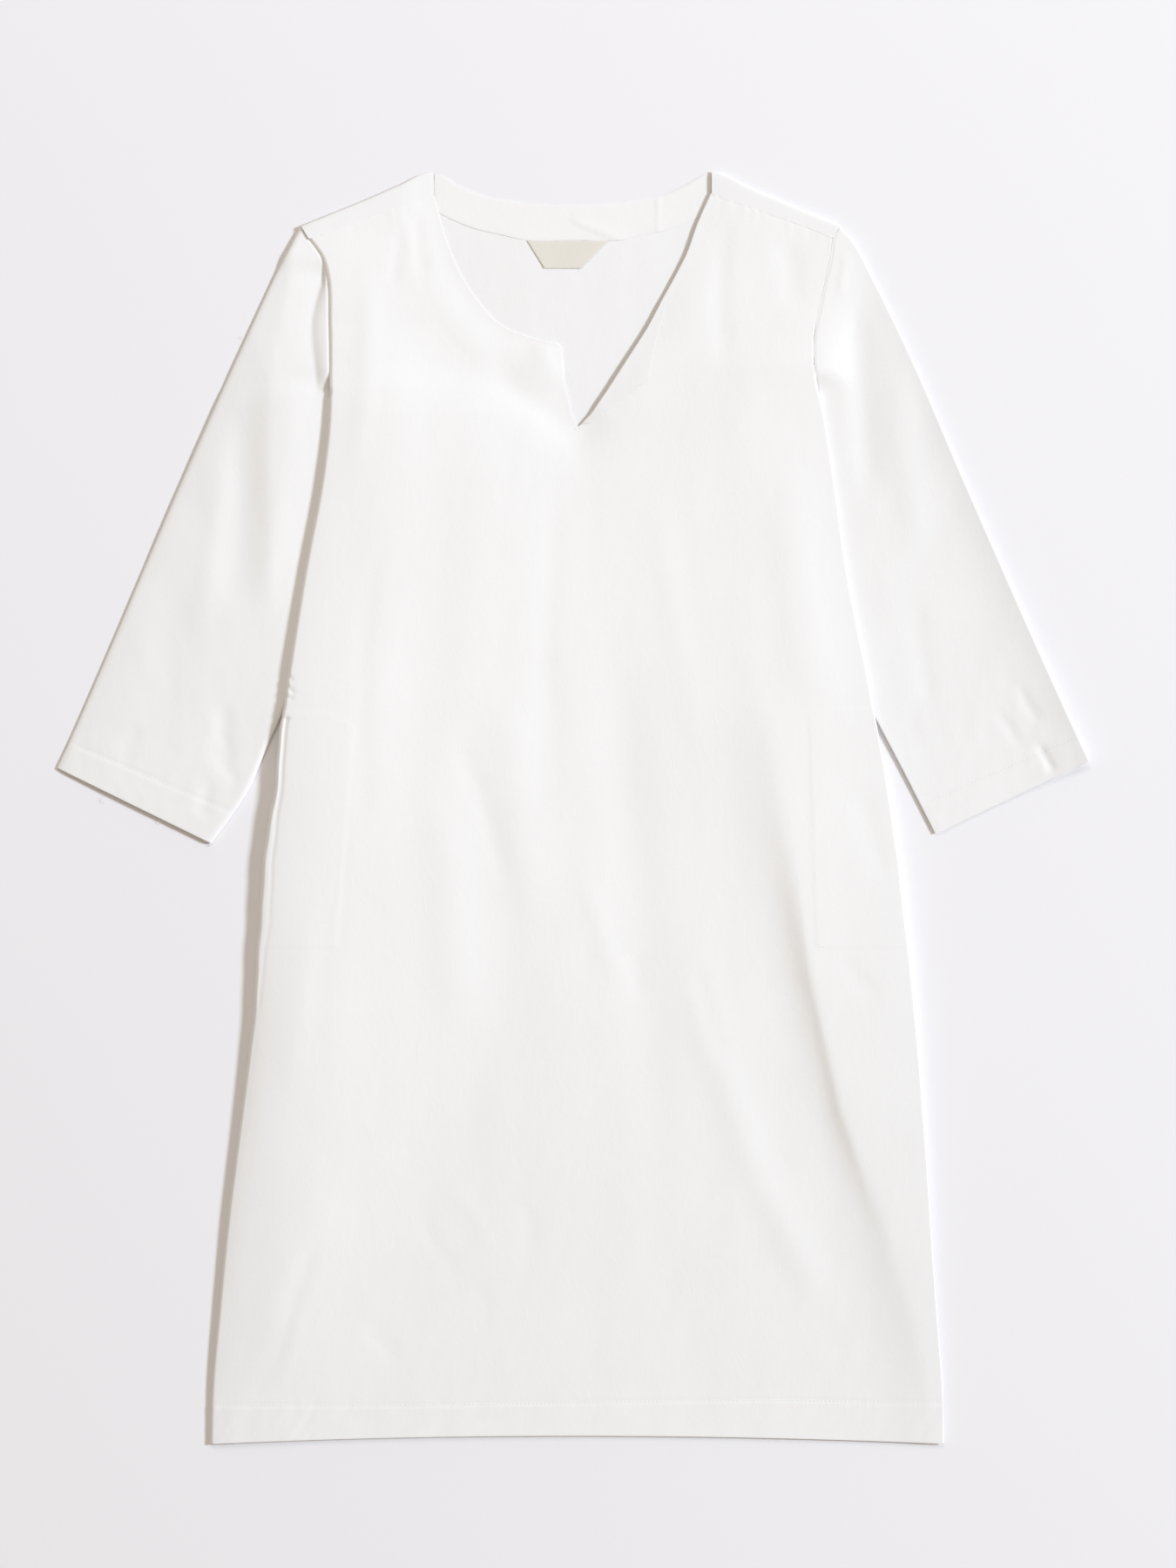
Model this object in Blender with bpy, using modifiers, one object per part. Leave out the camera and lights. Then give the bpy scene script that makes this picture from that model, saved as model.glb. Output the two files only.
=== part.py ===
"""Kurta tunic of fine white cotton, laid flat on its back: neck towards +Y, hem towards -Y.

Tables are in millimetres. Across is measured from the garment's middle line, + to +X, and down is
measured from the neck points towards the hem. The cloth lies on the plane z = 0.
"""

import math
from collections import namedtuple

import bmesh
import bpy
import numpy as np

MM = 0.001
SAME_POINT = 1e-6  # metres

# Driving dimensions
LENGTH = 921.0  # neck point to hem
NECK_POINT_Y = LENGTH / 2.0  # the neck points, above the middle of the garment
WALL = 1.0  # cloth
SEAM_GAP = 0.5  # between pieces that are sewn edge to edge
LYING_GAP = 0.35  # between a piece and the panel that it lies on
BODY_LOFT = 4.2  # top of the front panel over its middle
SLEEVE_LOFT = 5.2  # top of a sleeve over its middle
SLEEVE_PRESSED = 2.5  # top of a sleeve where the body lies on it
SLEEVE_HELD = 4.8  # top of a sleeve at the lower armhole, at most
PRESSED_FROM = 145.0  # the sleeve goes down under the body from here
PRESSED_WITHIN = 12.0
EDGE_ROLL = 6.0  # how far in the rounded side edge of the body starts
SLEEVE_ROLL = 4.0  # the same for the long edges of a sleeve
SHOULDER_ROLL = 4.0  # the same for the shoulder fold
SHOULDER_LOFT = 5.2  # top of the shoulder fold
SHOULDER_TURNS = (0, 45, 90, 135, 180)  # degrees round that fold
HEM_RISE = 7.0  # the hem's middle above its corners
NECK_HALF = 100.6  # neck point from the middle line
SLIT_DOWN = 184.9  # bottom of the front neck slit
SHOULDER_TIP = 40.0
ARMHOLE_FREE = 150.0  # below this the body's edge lies over the sleeve
STEP_DOWN_TO_FLOOR = 25.0  # the back does the same, under it
TUCK_CLEAR = 3.0  # the back starts down this far past the end of the tuck
BACK_ON_FLOOR = 125.0  # above this the back lies on the floor up to the armhole
BACK_IN_ROLL = 150.0  # below this its sides lie inside the front's rounded edges
CHEST_FULL = 216.0
HEM_CURVE_FROM = 700.0
BACK_HEM_SHORT = 1.5  # the back's hem stops short of the front's by this
BACK_HEM_FROM = 850.0
SLIT_LINE_FADES = 80.0  # the slit lies off the middle line, and the columns are straight from here
FOLD_FADE = 0.3  # share of a fold's length over which each end fades out
SLEEVE_LEVEL = 1.0  # a sleeve stays level with the body's edge over this distance from it
SLEEVE_SWELL = 22.0  # then it swells to its full loft over this distance
ARMHOLE_FADES = 3  # power by which the armhole's shape fades out towards the cuff
CUFF_PEEK_FROM = 0.9
TURNED_CORNER_GAP = 0.65
FACING_INSET = 0.8

# Side edges. edge: the visible edge from the middle line; tuck: cloth turned under; bed: how wide the
# front is held up by what lies beneath; step: how far inwards it then comes down; height: top of the
# rounded edge; lift: bottom of it; turn: degrees that the cloth turns; ease: room between the front
# and the back.
Side = namedtuple("Side", "down edge tuck bed step height lift turn ease")
LEFT_SIDE = (
    Side(40, 196.6, 1.5, 0.0, 60, 4.8, 0.0, 35, 1.0),
    Side(46, 193.0, 1.5, 0.0, 60, 4.8, 0.0, 35, 1.0),
    Side(63, 181.4, 1.5, 2.0, 60, 4.8, 0.0, 35, 1.0),
    Side(74, 178.3, 1.5, 4.0, 60, 5.0, 0.0, 35, 1.0),
    Side(110, 176.4, 1.5, 16.0, 60, 5.6, 0.0, 35, 1.0),
    Side(140, 175.8, 1.5, 30.0, 60, 7.0, 1.0, 35, 1.0),
    Side(158, 175.7, 1.5, 42.0, 70, 9.4, 3.0, 35, 1.0),
    Side(174, 176.0, 2.0, 52.0, 80, 10.6, 3.0, 180, 1.0),
    Side(216, 180.2, 60.0, 64.0, 90, 11.2, 3.0, 180, 1.0),
    Side(292, 194.0, 52.0, 56.0, 110, 11.2, 3.0, 180, 1.0),
    Side(380, 207.9, 42.0, 46.0, 120, 12.2, 3.0, 180, 1.9),
    Side(408, 212.0, 39.0, 43.0, 120, 12.2, 3.0, 180, 1.9),
    Side(445, 215.6, 35.0, 39.0, 120, 10.4, 0.0, 180, 1.9),
    Side(470, 220.0, 33.0, 37.0, 120, 10.2, 0.0, 180, 1.9),
    Side(507, 224.3, 30.0, 34.0, 120, 10.0, 0.0, 180, 1.9),
    Side(545, 227.3, 27.0, 31.0, 120, 9.8, 0.0, 180, 1.9),
    Side(608, 230.8, 22.0, 26.0, 120, 9.4, 0.0, 180, 1.0),
    Side(645, 235.2, 19.0, 23.0, 120, 9.0, 0.0, 180, 1.0),
    Side(696, 241.8, 16.0, 20.0, 110, 8.4, 0.0, 180, 1.0),
    Side(759, 249.8, 12.0, 16.0, 100, 7.6, 0.0, 180, 0.8),
    Side(822, 256.1, 8.0, 12.0, 90, 7.0, 0.0, 180, 0.8),
    Side(885, 261.5, 4.0, 8.0, 80, 6.6, 0.0, 180, 0.8),
    Side(922, 262.4, 2.0, 6.0, 80, 6.4, 0.0, 180, 0.6),
)
RIGHT_SIDE = (
    Side(40, 192.6, 1.5, 0.0, 60, 4.8, 0.0, 35, 1.0),
    Side(47, 189.0, 1.5, 0.0, 60, 4.8, 0.0, 35, 1.0),
    Side(64, 186.5, 1.5, 2.0, 60, 4.8, 0.0, 35, 1.0),
    Side(79, 182.7, 1.5, 5.0, 60, 5.0, 0.0, 35, 1.0),
    Side(95, 179.5, 1.5, 10.0, 60, 5.4, 0.0, 35, 1.0),
    Side(120, 174.5, 1.5, 20.0, 60, 5.8, 0.0, 35, 1.0),
    Side(142, 174.6, 1.5, 31.0, 60, 7.0, 1.0, 35, 1.0),
    Side(158, 177.2, 1.5, 44.0, 60, 9.2, 3.0, 35, 1.0),
    Side(174, 180.8, 2.0, 56.0, 60, 10.0, 3.0, 180, 1.0),
    Side(216, 187.6, 60.0, 68.0, 60, 10.6, 3.0, 180, 1.0),
    Side(292, 198.4, 52.0, 74.0, 60, 10.8, 3.0, 180, 1.0),
    Side(375, 214.6, 42.0, 74.0, 50, 11.6, 3.0, 180, 1.9),
    Side(402, 219.6, 39.0, 74.0, 45, 11.6, 3.0, 180, 1.9),
    Side(445, 227.3, 35.0, 73.0, 40, 9.6, 0.0, 180, 1.9),
    Side(481, 232.5, 31.0, 72.0, 36, 9.2, 0.0, 180, 1.9),
    Side(526, 238.2, 27.0, 71.0, 34, 9.0, 0.0, 180, 1.9),
    Side(576, 243.7, 24.0, 70.0, 34, 8.8, 0.0, 180, 1.4),
    Side(633, 249.4, 21.0, 65.0, 34, 8.4, 0.0, 180, 1.0),
    Side(680, 253.2, 18.0, 60.0, 34, 8.2, 0.0, 180, 1.0),
    Side(734, 257.2, 14.0, 46.0, 40, 7.8, 0.0, 180, 1.0),
    Side(765, 259.2, 12.0, 34.0, 45, 7.6, 0.0, 180, 1.0),
    Side(835, 264.2, 8.0, 19.0, 60, 7.0, 0.0, 180, 0.8),
    Side(885, 267.9, 4.0, 9.0, 70, 6.8, 0.0, 180, 0.8),
    Side(922, 268.5, 2.0, 6.0, 70, 6.4, 0.0, 180, 0.6),
)

# Front neck edges, from the slit's bottom (rise 0) to the shoulder seam (rise 1)
Neck = namedtuple("Neck", "rise across down")
NECK_LEFT = (
    Neck(0.00, 4.1, 184.9),
    Neck(0.12, -0.9, 174.8),
    Neck(0.22, -5.4, 153.3),
    Neck(0.31, -7.9, 124.9),
    Neck(0.40, -26.2, 121.2),
    Neck(0.50, -49.5, 112.3),
    Neck(0.62, -66.6, 95.9),
    Neck(0.74, -80.5, 75.1),
    Neck(0.87, -91.8, 48.6),
    Neck(1.00, -100.6, 17.0),
)
NECK_RIGHT = (
    Neck(0.00, 4.1, 184.9),
    Neck(0.12, 13.6, 174.8),
    Neck(0.22, 24.9, 158.4),
    Neck(0.31, 40.7, 133.8),
    Neck(0.40, 53.3, 114.2),
    Neck(0.50, 62.8, 96.5),
    Neck(0.62, 72.2, 79.5),
    Neck(0.74, 82.3, 59.9),
    Neck(0.87, 90.5, 37.2),
    Neck(1.00, 100.0, 16.0),
)
# The free edge of the corner of the slit that is turned outward
LAPEL_EDGE = (
    Neck(0.00, 9.0, 184.0),
    Neck(0.12, 24.0, 173.0),
    Neck(0.22, 40.0, 161.0),
    Neck(0.31, 54.0, 150.2),
    Neck(0.40, 59.0, 125.0),
    Neck(0.50, 66.5, 97.5),
)

# Back neck edge and shoulder fold, and the lower edge of the back neck facing
Level = namedtuple("Level", "across down")
TOP_EDGE = (
    Level(0, 24.0),
    Level(25, 23.0),
    Level(46, 20.5),
    Level(63, 17.5),
    Level(82, 9.5),
    Level(100.6, 0.0),
    Level(126, 10.0),
    Level(145, 18.5),
    Level(164, 26.5),
    Level(197, 40.0),
)
FACING_EDGE = (
    Level(0, 49.5),
    Level(34, 49.5),
    Level(55, 45.0),
    Level(72, 41.0),
    Level(88, 34.5),
    Level(97, 30.0),
)
SHOULDER_SEAM = (Level(100.6, 16.5), Level(193, 46.5))
LABEL_TOP = (-33.0, 25.6)
LABEL_BOTTOM = (-20.5, 6.0)
LABEL_DOWN = 50.0
LABEL_DEPTH = 20.0
FACING_HALF = 96.0

# Sleeves: outer edge from the shoulder tip to the cuff, and inner edge from the underarm
Edge = namedtuple("Edge", "along across down")
LEFT_OUTER = (
    Edge(0.00, -197.4, 40.4),
    Edge(0.06, -203.5, 52.0),
    Edge(0.12, -213.0, 70.0),
    Edge(0.25, -237.0, 121.0),
    Edge(0.50, -285.5, 229.0),
    Edge(0.75, -332.8, 339.5),
    Edge(0.93, -364.4, 412.0),
    Edge(1.00, -373.6, 431.6),
)
RIGHT_OUTER = (
    Edge(0.00, 193.4, 40.4),
    Edge(0.06, 205.0, 54.0),
    Edge(0.12, 216.0, 75.0),
    Edge(0.25, 240.0, 124.0),
    Edge(0.50, 285.5, 229.0),
    Edge(0.75, 335.4, 342.6),
    Edge(0.93, 365.0, 408.0),
    Edge(1.00, 373.6, 426.6),
)
LEFT_INNER = (
    Edge(0.00, -125.2, 216.0),
    Edge(0.78, -222.4, 419.6),
    Edge(0.89, -236.0, 450.0),
    Edge(1.00, -261.5, 486.5),
)
RIGHT_INNER = (
    Edge(0.00, 132.6, 216.0),
    Edge(0.70, 217.4, 393.1),
    Edge(0.85, 238.5, 433.0),
    Edge(1.00, 262.2, 479.6),
)
CUFF_PEEK = 3.5  # the back layer of a cuff shows past the front layer by this much

# Largest folds of the front: height (- is a trough), width, and route down the cloth
Fold = namedtuple("Fold", "height width route")
BODY_FOLDS = (
    Fold(0.8, 16, ((84, 540), (102, 633), (127, 709), (162, 784), (202, 850))),
    Fold(-0.8, 24, ((-112, 60), (-106, 128), (-100, 223), (-106, 349), (-122, 444), (-128, 532))),
    Fold(1.0, 20, ((-62, 360), (-44, 410), (-36, 480), (-30, 560))),
    Fold(0.9, 18, ((-98, 440), (-88, 500), (-84, 570), (-82, 640))),
    Fold(-0.9, 20, ((27, 300), (34, 400), (44, 507), (50, 595), (54, 700))),
    Fold(0.9, 26, ((-178, 700), (-200, 800), (-222, 885))),
    Fold(0.7, 20, ((36, 192), (52, 150), (72, 120), (90, 90), (104, 60))),
    Fold(1.0, 20, ((150, 180), (156, 254), (170, 349), (188, 420))),
)
LEFT_SLEEVE_FOLDS = (
    Fold(-1.6, 12, ((-219, 128), (-222, 229), (-219, 300))),
    Fold(1.4, 16, ((-244, 200), (-246, 300), (-250, 400))),
    Fold(-1.3, 16, ((-289, 267), (-292, 355), (-300, 430))),
)
RIGHT_SLEEVE_FOLDS = (
    Fold(-1.6, 14, ((223, 84), (226, 160), (235, 254))),
    Fold(1.4, 16, ((250, 190), (262, 280), (275, 380))),
    Fold(-1.2, 18, ((285, 240), (318, 340), (345, 410))),
)
POCKET_RANGE = (388.0, 562.0)
POCKET_REACH = 56.0  # how far the pocket bags reach in from the side edge

# Rows of the front's and back's cloth, by how far down they meet the side edge
UPPER_ROWS = (184.9, 179, 174, 170, 166, 162, 158, 152, 146, 136, 124, 110, 95, 79, 63, 47)
LOWER_ROWS = (194, 205, 216, 240, 266, 292, 320, 350, 372, 388, 405, 420, 434, 445, 470, 500,
              531, 562, 585, 608, 636, 664, 696, 728, 760, 790, 820, 850, 874, 894, 908, 921)
FRONT_RUN = 10  # columns from the middle to a rounded side edge
BACK_MIDDLE_RUN = 4
BACK_SIDE_RUN = 5
TURN_STEPS = 4
TUCK_STEPS = 2
FACING_COLUMNS = 17
POCKET_COLUMNS = 4
LAPEL_STEPS = 9
LAPEL_LOWEST = 0.02
TRIM_ROWS = (0.0, 0.5, 1.0)
TRIM_COLUMNS = 4
# Sleeve rings along the sleeve, and points across each, closer where the cloth turns
SLEEVE_RINGS = (0.0, 0.03, 0.07, 0.12, 0.2, 0.28, 0.36, 0.45, 0.54, 0.63, 0.72, 0.81, 0.88, 0.94, 1.0)
SLEEVE_SHARES = (0.0, 0.006, 0.018, 0.036, 0.12, 0.22, 0.34, 0.46, 0.58, 0.70, 0.81, 0.90, 0.964,
                 0.982, 0.994, 1.0)
# Armhole seam of a sleeve: rows beside the body's edge, then (down, how far in under the body)
ARMHOLE_GAP = 0.6
ARMHOLE_ROWS = (52, 63, 74, 92, 110, 128, 150)
UNDERARM_CURVE = ((168.0, 4.0), (186.0, 20.0))

COTTON = (0.90, 0.90, 0.89, 1.0)
COTTON_INSIDE = (0.87, 0.86, 0.85, 1.0)
LABEL_TAPE = (0.84, 0.80, 0.70, 1.0)


def smooth(t):
    t = np.clip(t, 0.0, 1.0)
    return t * t * (3.0 - 2.0 * t)


def column(rows, name):
    return np.array([getattr(row, name) for row in rows], float)


def curve(rows, key, name, at):
    """A smooth curve through a table's values, each slope taken from the rows beside it."""
    knots = column(rows, key)
    values = column(rows, name)
    slopes = np.gradient(values, knots)
    at = np.clip(np.asarray(at, float), knots[0], knots[-1])
    i = np.clip(np.searchsorted(knots, at) - 1, 0, len(knots) - 2)
    step = knots[i + 1] - knots[i]
    t = (at - knots[i]) / step
    bend = t * t * (3.0 - 2.0 * t)
    start = slopes[i] * step * t * (1.0 - t) ** 2
    end = slopes[i + 1] * step * t * t * (t - 1.0)
    return values[i] + (values[i + 1] - values[i]) * bend + start + end


def line(rows, key, name, at):
    return np.interp(at, column(rows, key), column(rows, name))


def side_rows(sign):
    return LEFT_SIDE if sign < 0 else RIGHT_SIDE


def visible_edge(sign, down):
    """Distance of the body's visible side edge from the middle line."""
    return curve(side_rows(sign), "down", "edge", down)


def side_value(sign, name, down):
    return line(side_rows(sign), "down", name, down)


def fold_relief(folds, across, down):
    """Height that the folds add: each is a soft bump beside its route, fading out at both ends."""
    total = np.zeros(np.broadcast(across, down).shape)
    for fold in folds:
        route = np.array(fold.route, float)
        spans = np.linalg.norm(np.diff(route, axis=0), axis=1)
        passed = np.concatenate([[0.0], np.cumsum(spans)])
        near = np.full(total.shape, np.inf)
        along = np.zeros(total.shape)
        for k, span in enumerate(spans):
            way = (route[k + 1] - route[k]) / span
            t = np.clip((across - route[k, 0]) * way[0] + (down - route[k, 1]) * way[1], 0, span)
            far = np.hypot(across - route[k, 0] - way[0] * t, down - route[k, 1] - way[1] * t)
            along = np.where(far < near, passed[k] + t, along)
            near = np.minimum(far, near)
        fade = FOLD_FADE * passed[-1]
        ends = smooth(along / fade) * smooth((passed[-1] - along) / fade)
        total += fold.height * ends * np.exp(-((near / fold.width) ** 2))
    return total


def body_top(across, down):
    """Top of the front panel: low in the middle, higher over the tucked sides, with its folds."""
    across = np.asarray(across, float)
    down = np.asarray(down, float)
    level = np.full(np.broadcast(across, down).shape, BODY_LOFT)
    for sign in (-1, 1):
        inside = visible_edge(sign, down) - EDGE_ROLL - sign * across
        past = (inside - side_value(sign, "bed", down)) / side_value(sign, "step", down)
        rise = 1.0 - smooth(past)
        level = level + (side_value(sign, "height", down) - BODY_LOFT) * rise
    return level + fold_relief(BODY_FOLDS, across, down)


def edge_strip(sign, down, inset, flatten):
    """The cloth round the body's side edge: (distance from the middle line, z), from the top of the
    rounded edge to the seam. Inset moves it inside another layer, and flatten lays it on the back."""
    roll = EDGE_ROLL - inset * (1.0 - flatten)
    edge = visible_edge(sign, down) - inset * (1.0 - flatten)
    crown = float(body_top(sign * (visible_edge(sign, down) - EDGE_ROLL), down))
    lift = float(side_value(sign, "lift", down))
    middle = (crown + lift) / 2.0
    half = (crown - lift) / 2.0 - inset
    turn = math.radians(float(side_value(sign, "turn", down)))
    angles = turn * np.arange(TURN_STEPS + 1) / TURN_STEPS
    path = list(zip(roll * np.sin(angles), middle + half * np.cos(angles)))
    way = np.array([roll * math.cos(turn), -half * math.sin(turn)])
    way /= np.linalg.norm(way)
    tuck = float(side_value(sign, "tuck", down))
    for k in range(1, TUCK_STEPS + 1):
        path.append(tuple(np.array(path[TURN_STEPS]) + way * tuck * k / TUCK_STEPS))
    path = np.array(path)
    path[:, 0] += edge - path[:, 0].max()
    path[:, 1] += (WALL - path[:, 1]) * flatten
    return path


def row_down(sign, across, down):
    """The lowest rows follow the hem, which rises in the middle."""
    ramp = smooth((down - HEM_CURVE_FROM) / (LENGTH - HEM_CURVE_FROM))
    reach = visible_edge(sign, down)
    return down - HEM_RISE * ramp * (1.0 - np.clip(np.abs(across) / reach, 0, 1) ** 2)


def neck_point(rows, down):
    rise = (SLIT_DOWN - down) / (SLIT_DOWN - UPPER_ROWS[-1])
    return line(rows, "rise", "across", rise), line(rows, "rise", "down", rise)


def place(across, down, z):
    """Metres in the object's frame."""
    y = NECK_POINT_Y - np.asarray(down, float)
    return np.stack(np.broadcast_arrays(across, y, z), -1) * MM


def front_half(sign, down):
    """One row of half the front, from the seam under the side to the middle line or the neck edge."""
    strip = edge_strip(sign, down, 0.0, 0.0)
    start = strip[0, 0] * sign
    if down <= SLIT_DOWN:
        end, end_down = neck_point(NECK_LEFT if sign < 0 else NECK_RIGHT, down)
    else:
        end, end_down = NECK_LEFT[0].across * max(0.0, 1.0 - (down - SLIT_DOWN) / SLIT_LINE_FADES), down
    t = np.linspace(0.0, 1.0, FRONT_RUN + 1)[1:]
    across = start + (end - start) * t
    along = down + (end_down - down) * t
    if down > SLIT_DOWN:
        along = row_down(sign, across, down)
    run = place(across, along, body_top(across, along))
    edge_down = row_down(sign, strip[0, 0], down) if down > SLIT_DOWN else down
    side = place(sign * strip[::-1, 0], edge_down, strip[::-1, 1])
    return np.concatenate([side, run])


def front_rows():
    downs = UPPER_ROWS[::-1] + LOWER_ROWS
    return np.array([np.concatenate([front_half(-1, d), front_half(1, d)[::-1]]) for d in downs])


def top_edge(across):
    return line(TOP_EDGE, "across", "down", np.abs(across))


def back_top(sign, distance, across, down, nested):
    """Top of the back panel: on the floor in the middle, and up under the front at the tucked sides."""
    inset = WALL + side_value(sign, "ease", down)
    under = body_top(across, down) - inset
    tuck = side_value(sign, "tuck", down) + TUCK_CLEAR
    rise = 1.0 - smooth((distance - tuck) / STEP_DOWN_TO_FLOOR)
    return WALL + (under - WALL) * rise * nested


def back_half(sign, down, row_at):
    """One row of half the back, from the seam under the side to the middle line."""
    nested = float(smooth((down - BACK_ON_FLOOR) / (BACK_IN_ROLL - BACK_ON_FLOOR)))
    inset = WALL + float(side_value(sign, "ease", down))
    strip = edge_strip(sign, down, inset, 1.0 - nested)
    if nested < 1.0:
        flat = strip[0, 0] + (visible_edge(sign, down) - strip[0, 0]) * np.linspace(0, 1, len(strip))
        strip[:, 0] += (flat - strip[:, 0]) * (1.0 - nested)
    start = strip[0, 0]
    tuck = float(side_value(sign, "tuck", down)) + TUCK_CLEAR + STEP_DOWN_TO_FLOOR
    settled = smooth((down - BACK_IN_ROLL) / (CHEST_FULL - BACK_IN_ROLL))
    knee = NECK_HALF + (start - tuck - NECK_HALF) * settled
    side_run = start + (knee - start) * np.linspace(0, 1, BACK_SIDE_RUN + 1)[1:]
    middle_run = knee * (1.0 - np.linspace(0, 1, BACK_MIDDLE_RUN + 1)[1:])
    distance = np.concatenate([side_run, middle_run])
    across = sign * distance
    along = row_at(sign, across, down)
    run = place(across, along, back_top(sign, start - distance, across, along, nested))
    side = place(sign * strip[::-1, 0], row_at(sign, sign * strip[::-1, 0], down), strip[::-1, 1])
    return np.concatenate([side, run])


def back_row_at(sign, across, down):
    """Rows above the chest fan out to the neck edge and the shoulders."""
    if down > SLIT_DOWN:
        short = BACK_HEM_SHORT * smooth((down - BACK_HEM_FROM) / (LENGTH - BACK_HEM_FROM))
        return row_down(sign, across, down) - short
    share = np.clip((ARMHOLE_FREE - down) / (ARMHOLE_FREE - SHOULDER_TIP), 0.0, 1.0)
    if share == 0.0:
        return np.full(np.shape(across), float(down))
    return ARMHOLE_FREE + (top_edge(across) - ARMHOLE_FREE) * share


def back_rows():
    """Every row of the back panel. The rows above the shoulder fold have gaps for the neck."""
    downs = (SHOULDER_TIP,) + UPPER_ROWS[::-1] + LOWER_ROWS
    rows = []
    for down in downs:
        left = back_half(-1, down, back_row_at)
        right = back_half(1, down, back_row_at)
        rows.append(np.concatenate([left, right[::-1][1:]]))
    rows = np.array(rows)
    across = rows[0][:, 0] / MM
    on_shoulder = np.abs(across) >= NECK_HALF - 0.01
    fold = top_edge(across)
    seam = line(SHOULDER_SEAM, "across", "down", np.abs(across)) - SEAM_GAP
    middle = SHOULDER_LOFT / 2.0
    wraps = []
    for angle in SHOULDER_TURNS:
        turn = math.radians(angle)
        down = fold + SHOULDER_ROLL - (SHOULDER_ROLL - WALL) * math.sin(turn)
        wraps.append(shoulder_row(across, down, middle - (middle - WALL) * math.cos(turn)))
    wraps.append(shoulder_row(across, seam, body_top(across, seam) - WALL))
    wraps = np.array(wraps)
    wraps[:, ~on_shoulder] = np.nan
    rows[0][on_shoulder] = wraps[0][on_shoulder]
    return np.concatenate([wraps[:0:-1], rows])


def shoulder_row(across, down, z):
    """A row along the shoulder, narrowed to end on the armhole edge."""
    sign = np.sign(across)
    share = (np.abs(across) - NECK_HALF) / (np.abs(across).max() - NECK_HALF)
    reach = np.where(sign < 0, visible_edge(-1, down), visible_edge(1, down))
    return place(sign * (NECK_HALF + (reach - NECK_HALF) * share), down, z)


def mesh_from_rows(name, rows, split=None, closed=False):
    """Quads between rows of points. Split is a column with no quads after it, nan a missing point."""
    mesh = bpy.data.meshes.new(name)
    shape = bmesh.new()
    grid = [[None if np.isnan(p[0]) else shape.verts.new(p) for p in row] for row in rows]
    count = len(rows[0])
    for upper, lower in zip(grid, grid[1:]):
        for k in range(count if closed else count - 1):
            if k == split:
                continue
            corners = (upper[k], lower[k], lower[(k + 1) % count], upper[(k + 1) % count])
            if None not in corners:
                shape.faces.new(corners)
    bmesh.ops.remove_doubles(shape, verts=shape.verts, dist=SAME_POINT)
    shape.to_mesh(mesh)
    shape.free()
    return mesh


def material(name, colour, roughness):
    made = bpy.data.materials.new(name)
    made.use_nodes = True
    shader = made.node_tree.nodes["Principled BSDF"]
    shader.inputs["Base Color"].default_value = colour
    shader.inputs["Roughness"].default_value = roughness
    shader.inputs["Metallic"].default_value = 0.0
    return made


def cloth(name, mesh, finish, collection, wall=WALL, outwards=False):
    """A wall of cloth behind the mesh's faces, or in front of them where outwards is set."""
    piece = bpy.data.objects.new(name, mesh)
    collection.objects.link(piece)
    mesh.materials.append(finish)
    mesh.shade_smooth()
    solid = piece.modifiers.new("Wall", "SOLIDIFY")
    solid.thickness = wall * MM
    solid.offset = 1.0 if outwards else -1.0
    solid.use_even_offset = True
    return piece


def sleeve_top(sign, across, down, folds):
    """Top of a sleeve: level with the front at the armhole, pressed flat under the body."""
    edge = visible_edge(sign, down)
    seam_z = edge_strip_end(sign, down)
    held = seam_z + (SLEEVE_PRESSED - seam_z) * smooth((down - PRESSED_FROM) / PRESSED_WITHIN)
    out = smooth((sign * across - edge - SLEEVE_LEVEL) / SLEEVE_SWELL)
    return held + (SLEEVE_LOFT - held) * out + fold_relief(folds, across, down) * out


def edge_strip_end(sign, down):
    """z of the front's cloth at the armhole seam."""
    downs = np.clip(np.atleast_1d(down), SHOULDER_TIP, ARMHOLE_FREE)
    seam_z = [edge_strip(sign, d, 0.0, 0.0)[-1, 1] for d in downs]
    return np.minimum(seam_z, SLEEVE_HELD)


def sleeve_rows(sign, outer, inner, folds):
    """Rings of a flat sleeve from armhole to cuff: the top from outer edge to inner, then the back."""
    shares = np.array(SLEEVE_SHARES)
    ring0 = armhole_line(sign, shares, outer, inner)
    chord0 = ring0[0] + (ring0[-1] - ring0[0]) * shares[:, None]
    rows = []
    for along in SLEEVE_RINGS:
        start = np.array([curve(outer, "along", name, along) for name in ("across", "down")])
        end = np.array([curve(inner, "along", name, along) for name in ("across", "down")])
        plan = start + (end - start) * shares[:, None] + (ring0 - chord0) * (1.0 - along) ** ARMHOLE_FADES
        width = np.linalg.norm(end - start)
        inside = np.minimum(shares, 1.0 - shares) * width
        swell = np.sqrt(1.0 - (1.0 - np.clip(inside / SLEEVE_ROLL, 0, 1)) ** 2)
        crown = sleeve_top(sign, plan[:, 0], plan[:, 1], folds)
        top = place(plan[:, 0], plan[:, 1], crown / 2.0 * (1.0 + swell))
        peek = np.sin(np.pi * shares) * CUFF_PEEK * smooth((along - CUFF_PEEK_FROM) / (1.0 - CUFF_PEEK_FROM))
        below = place(plan[:, 0], plan[:, 1] + peek, crown / 2.0 * (1.0 - swell))
        rows.append(np.concatenate([top, below[-2:0:-1]]))
    return np.array(rows)


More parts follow.
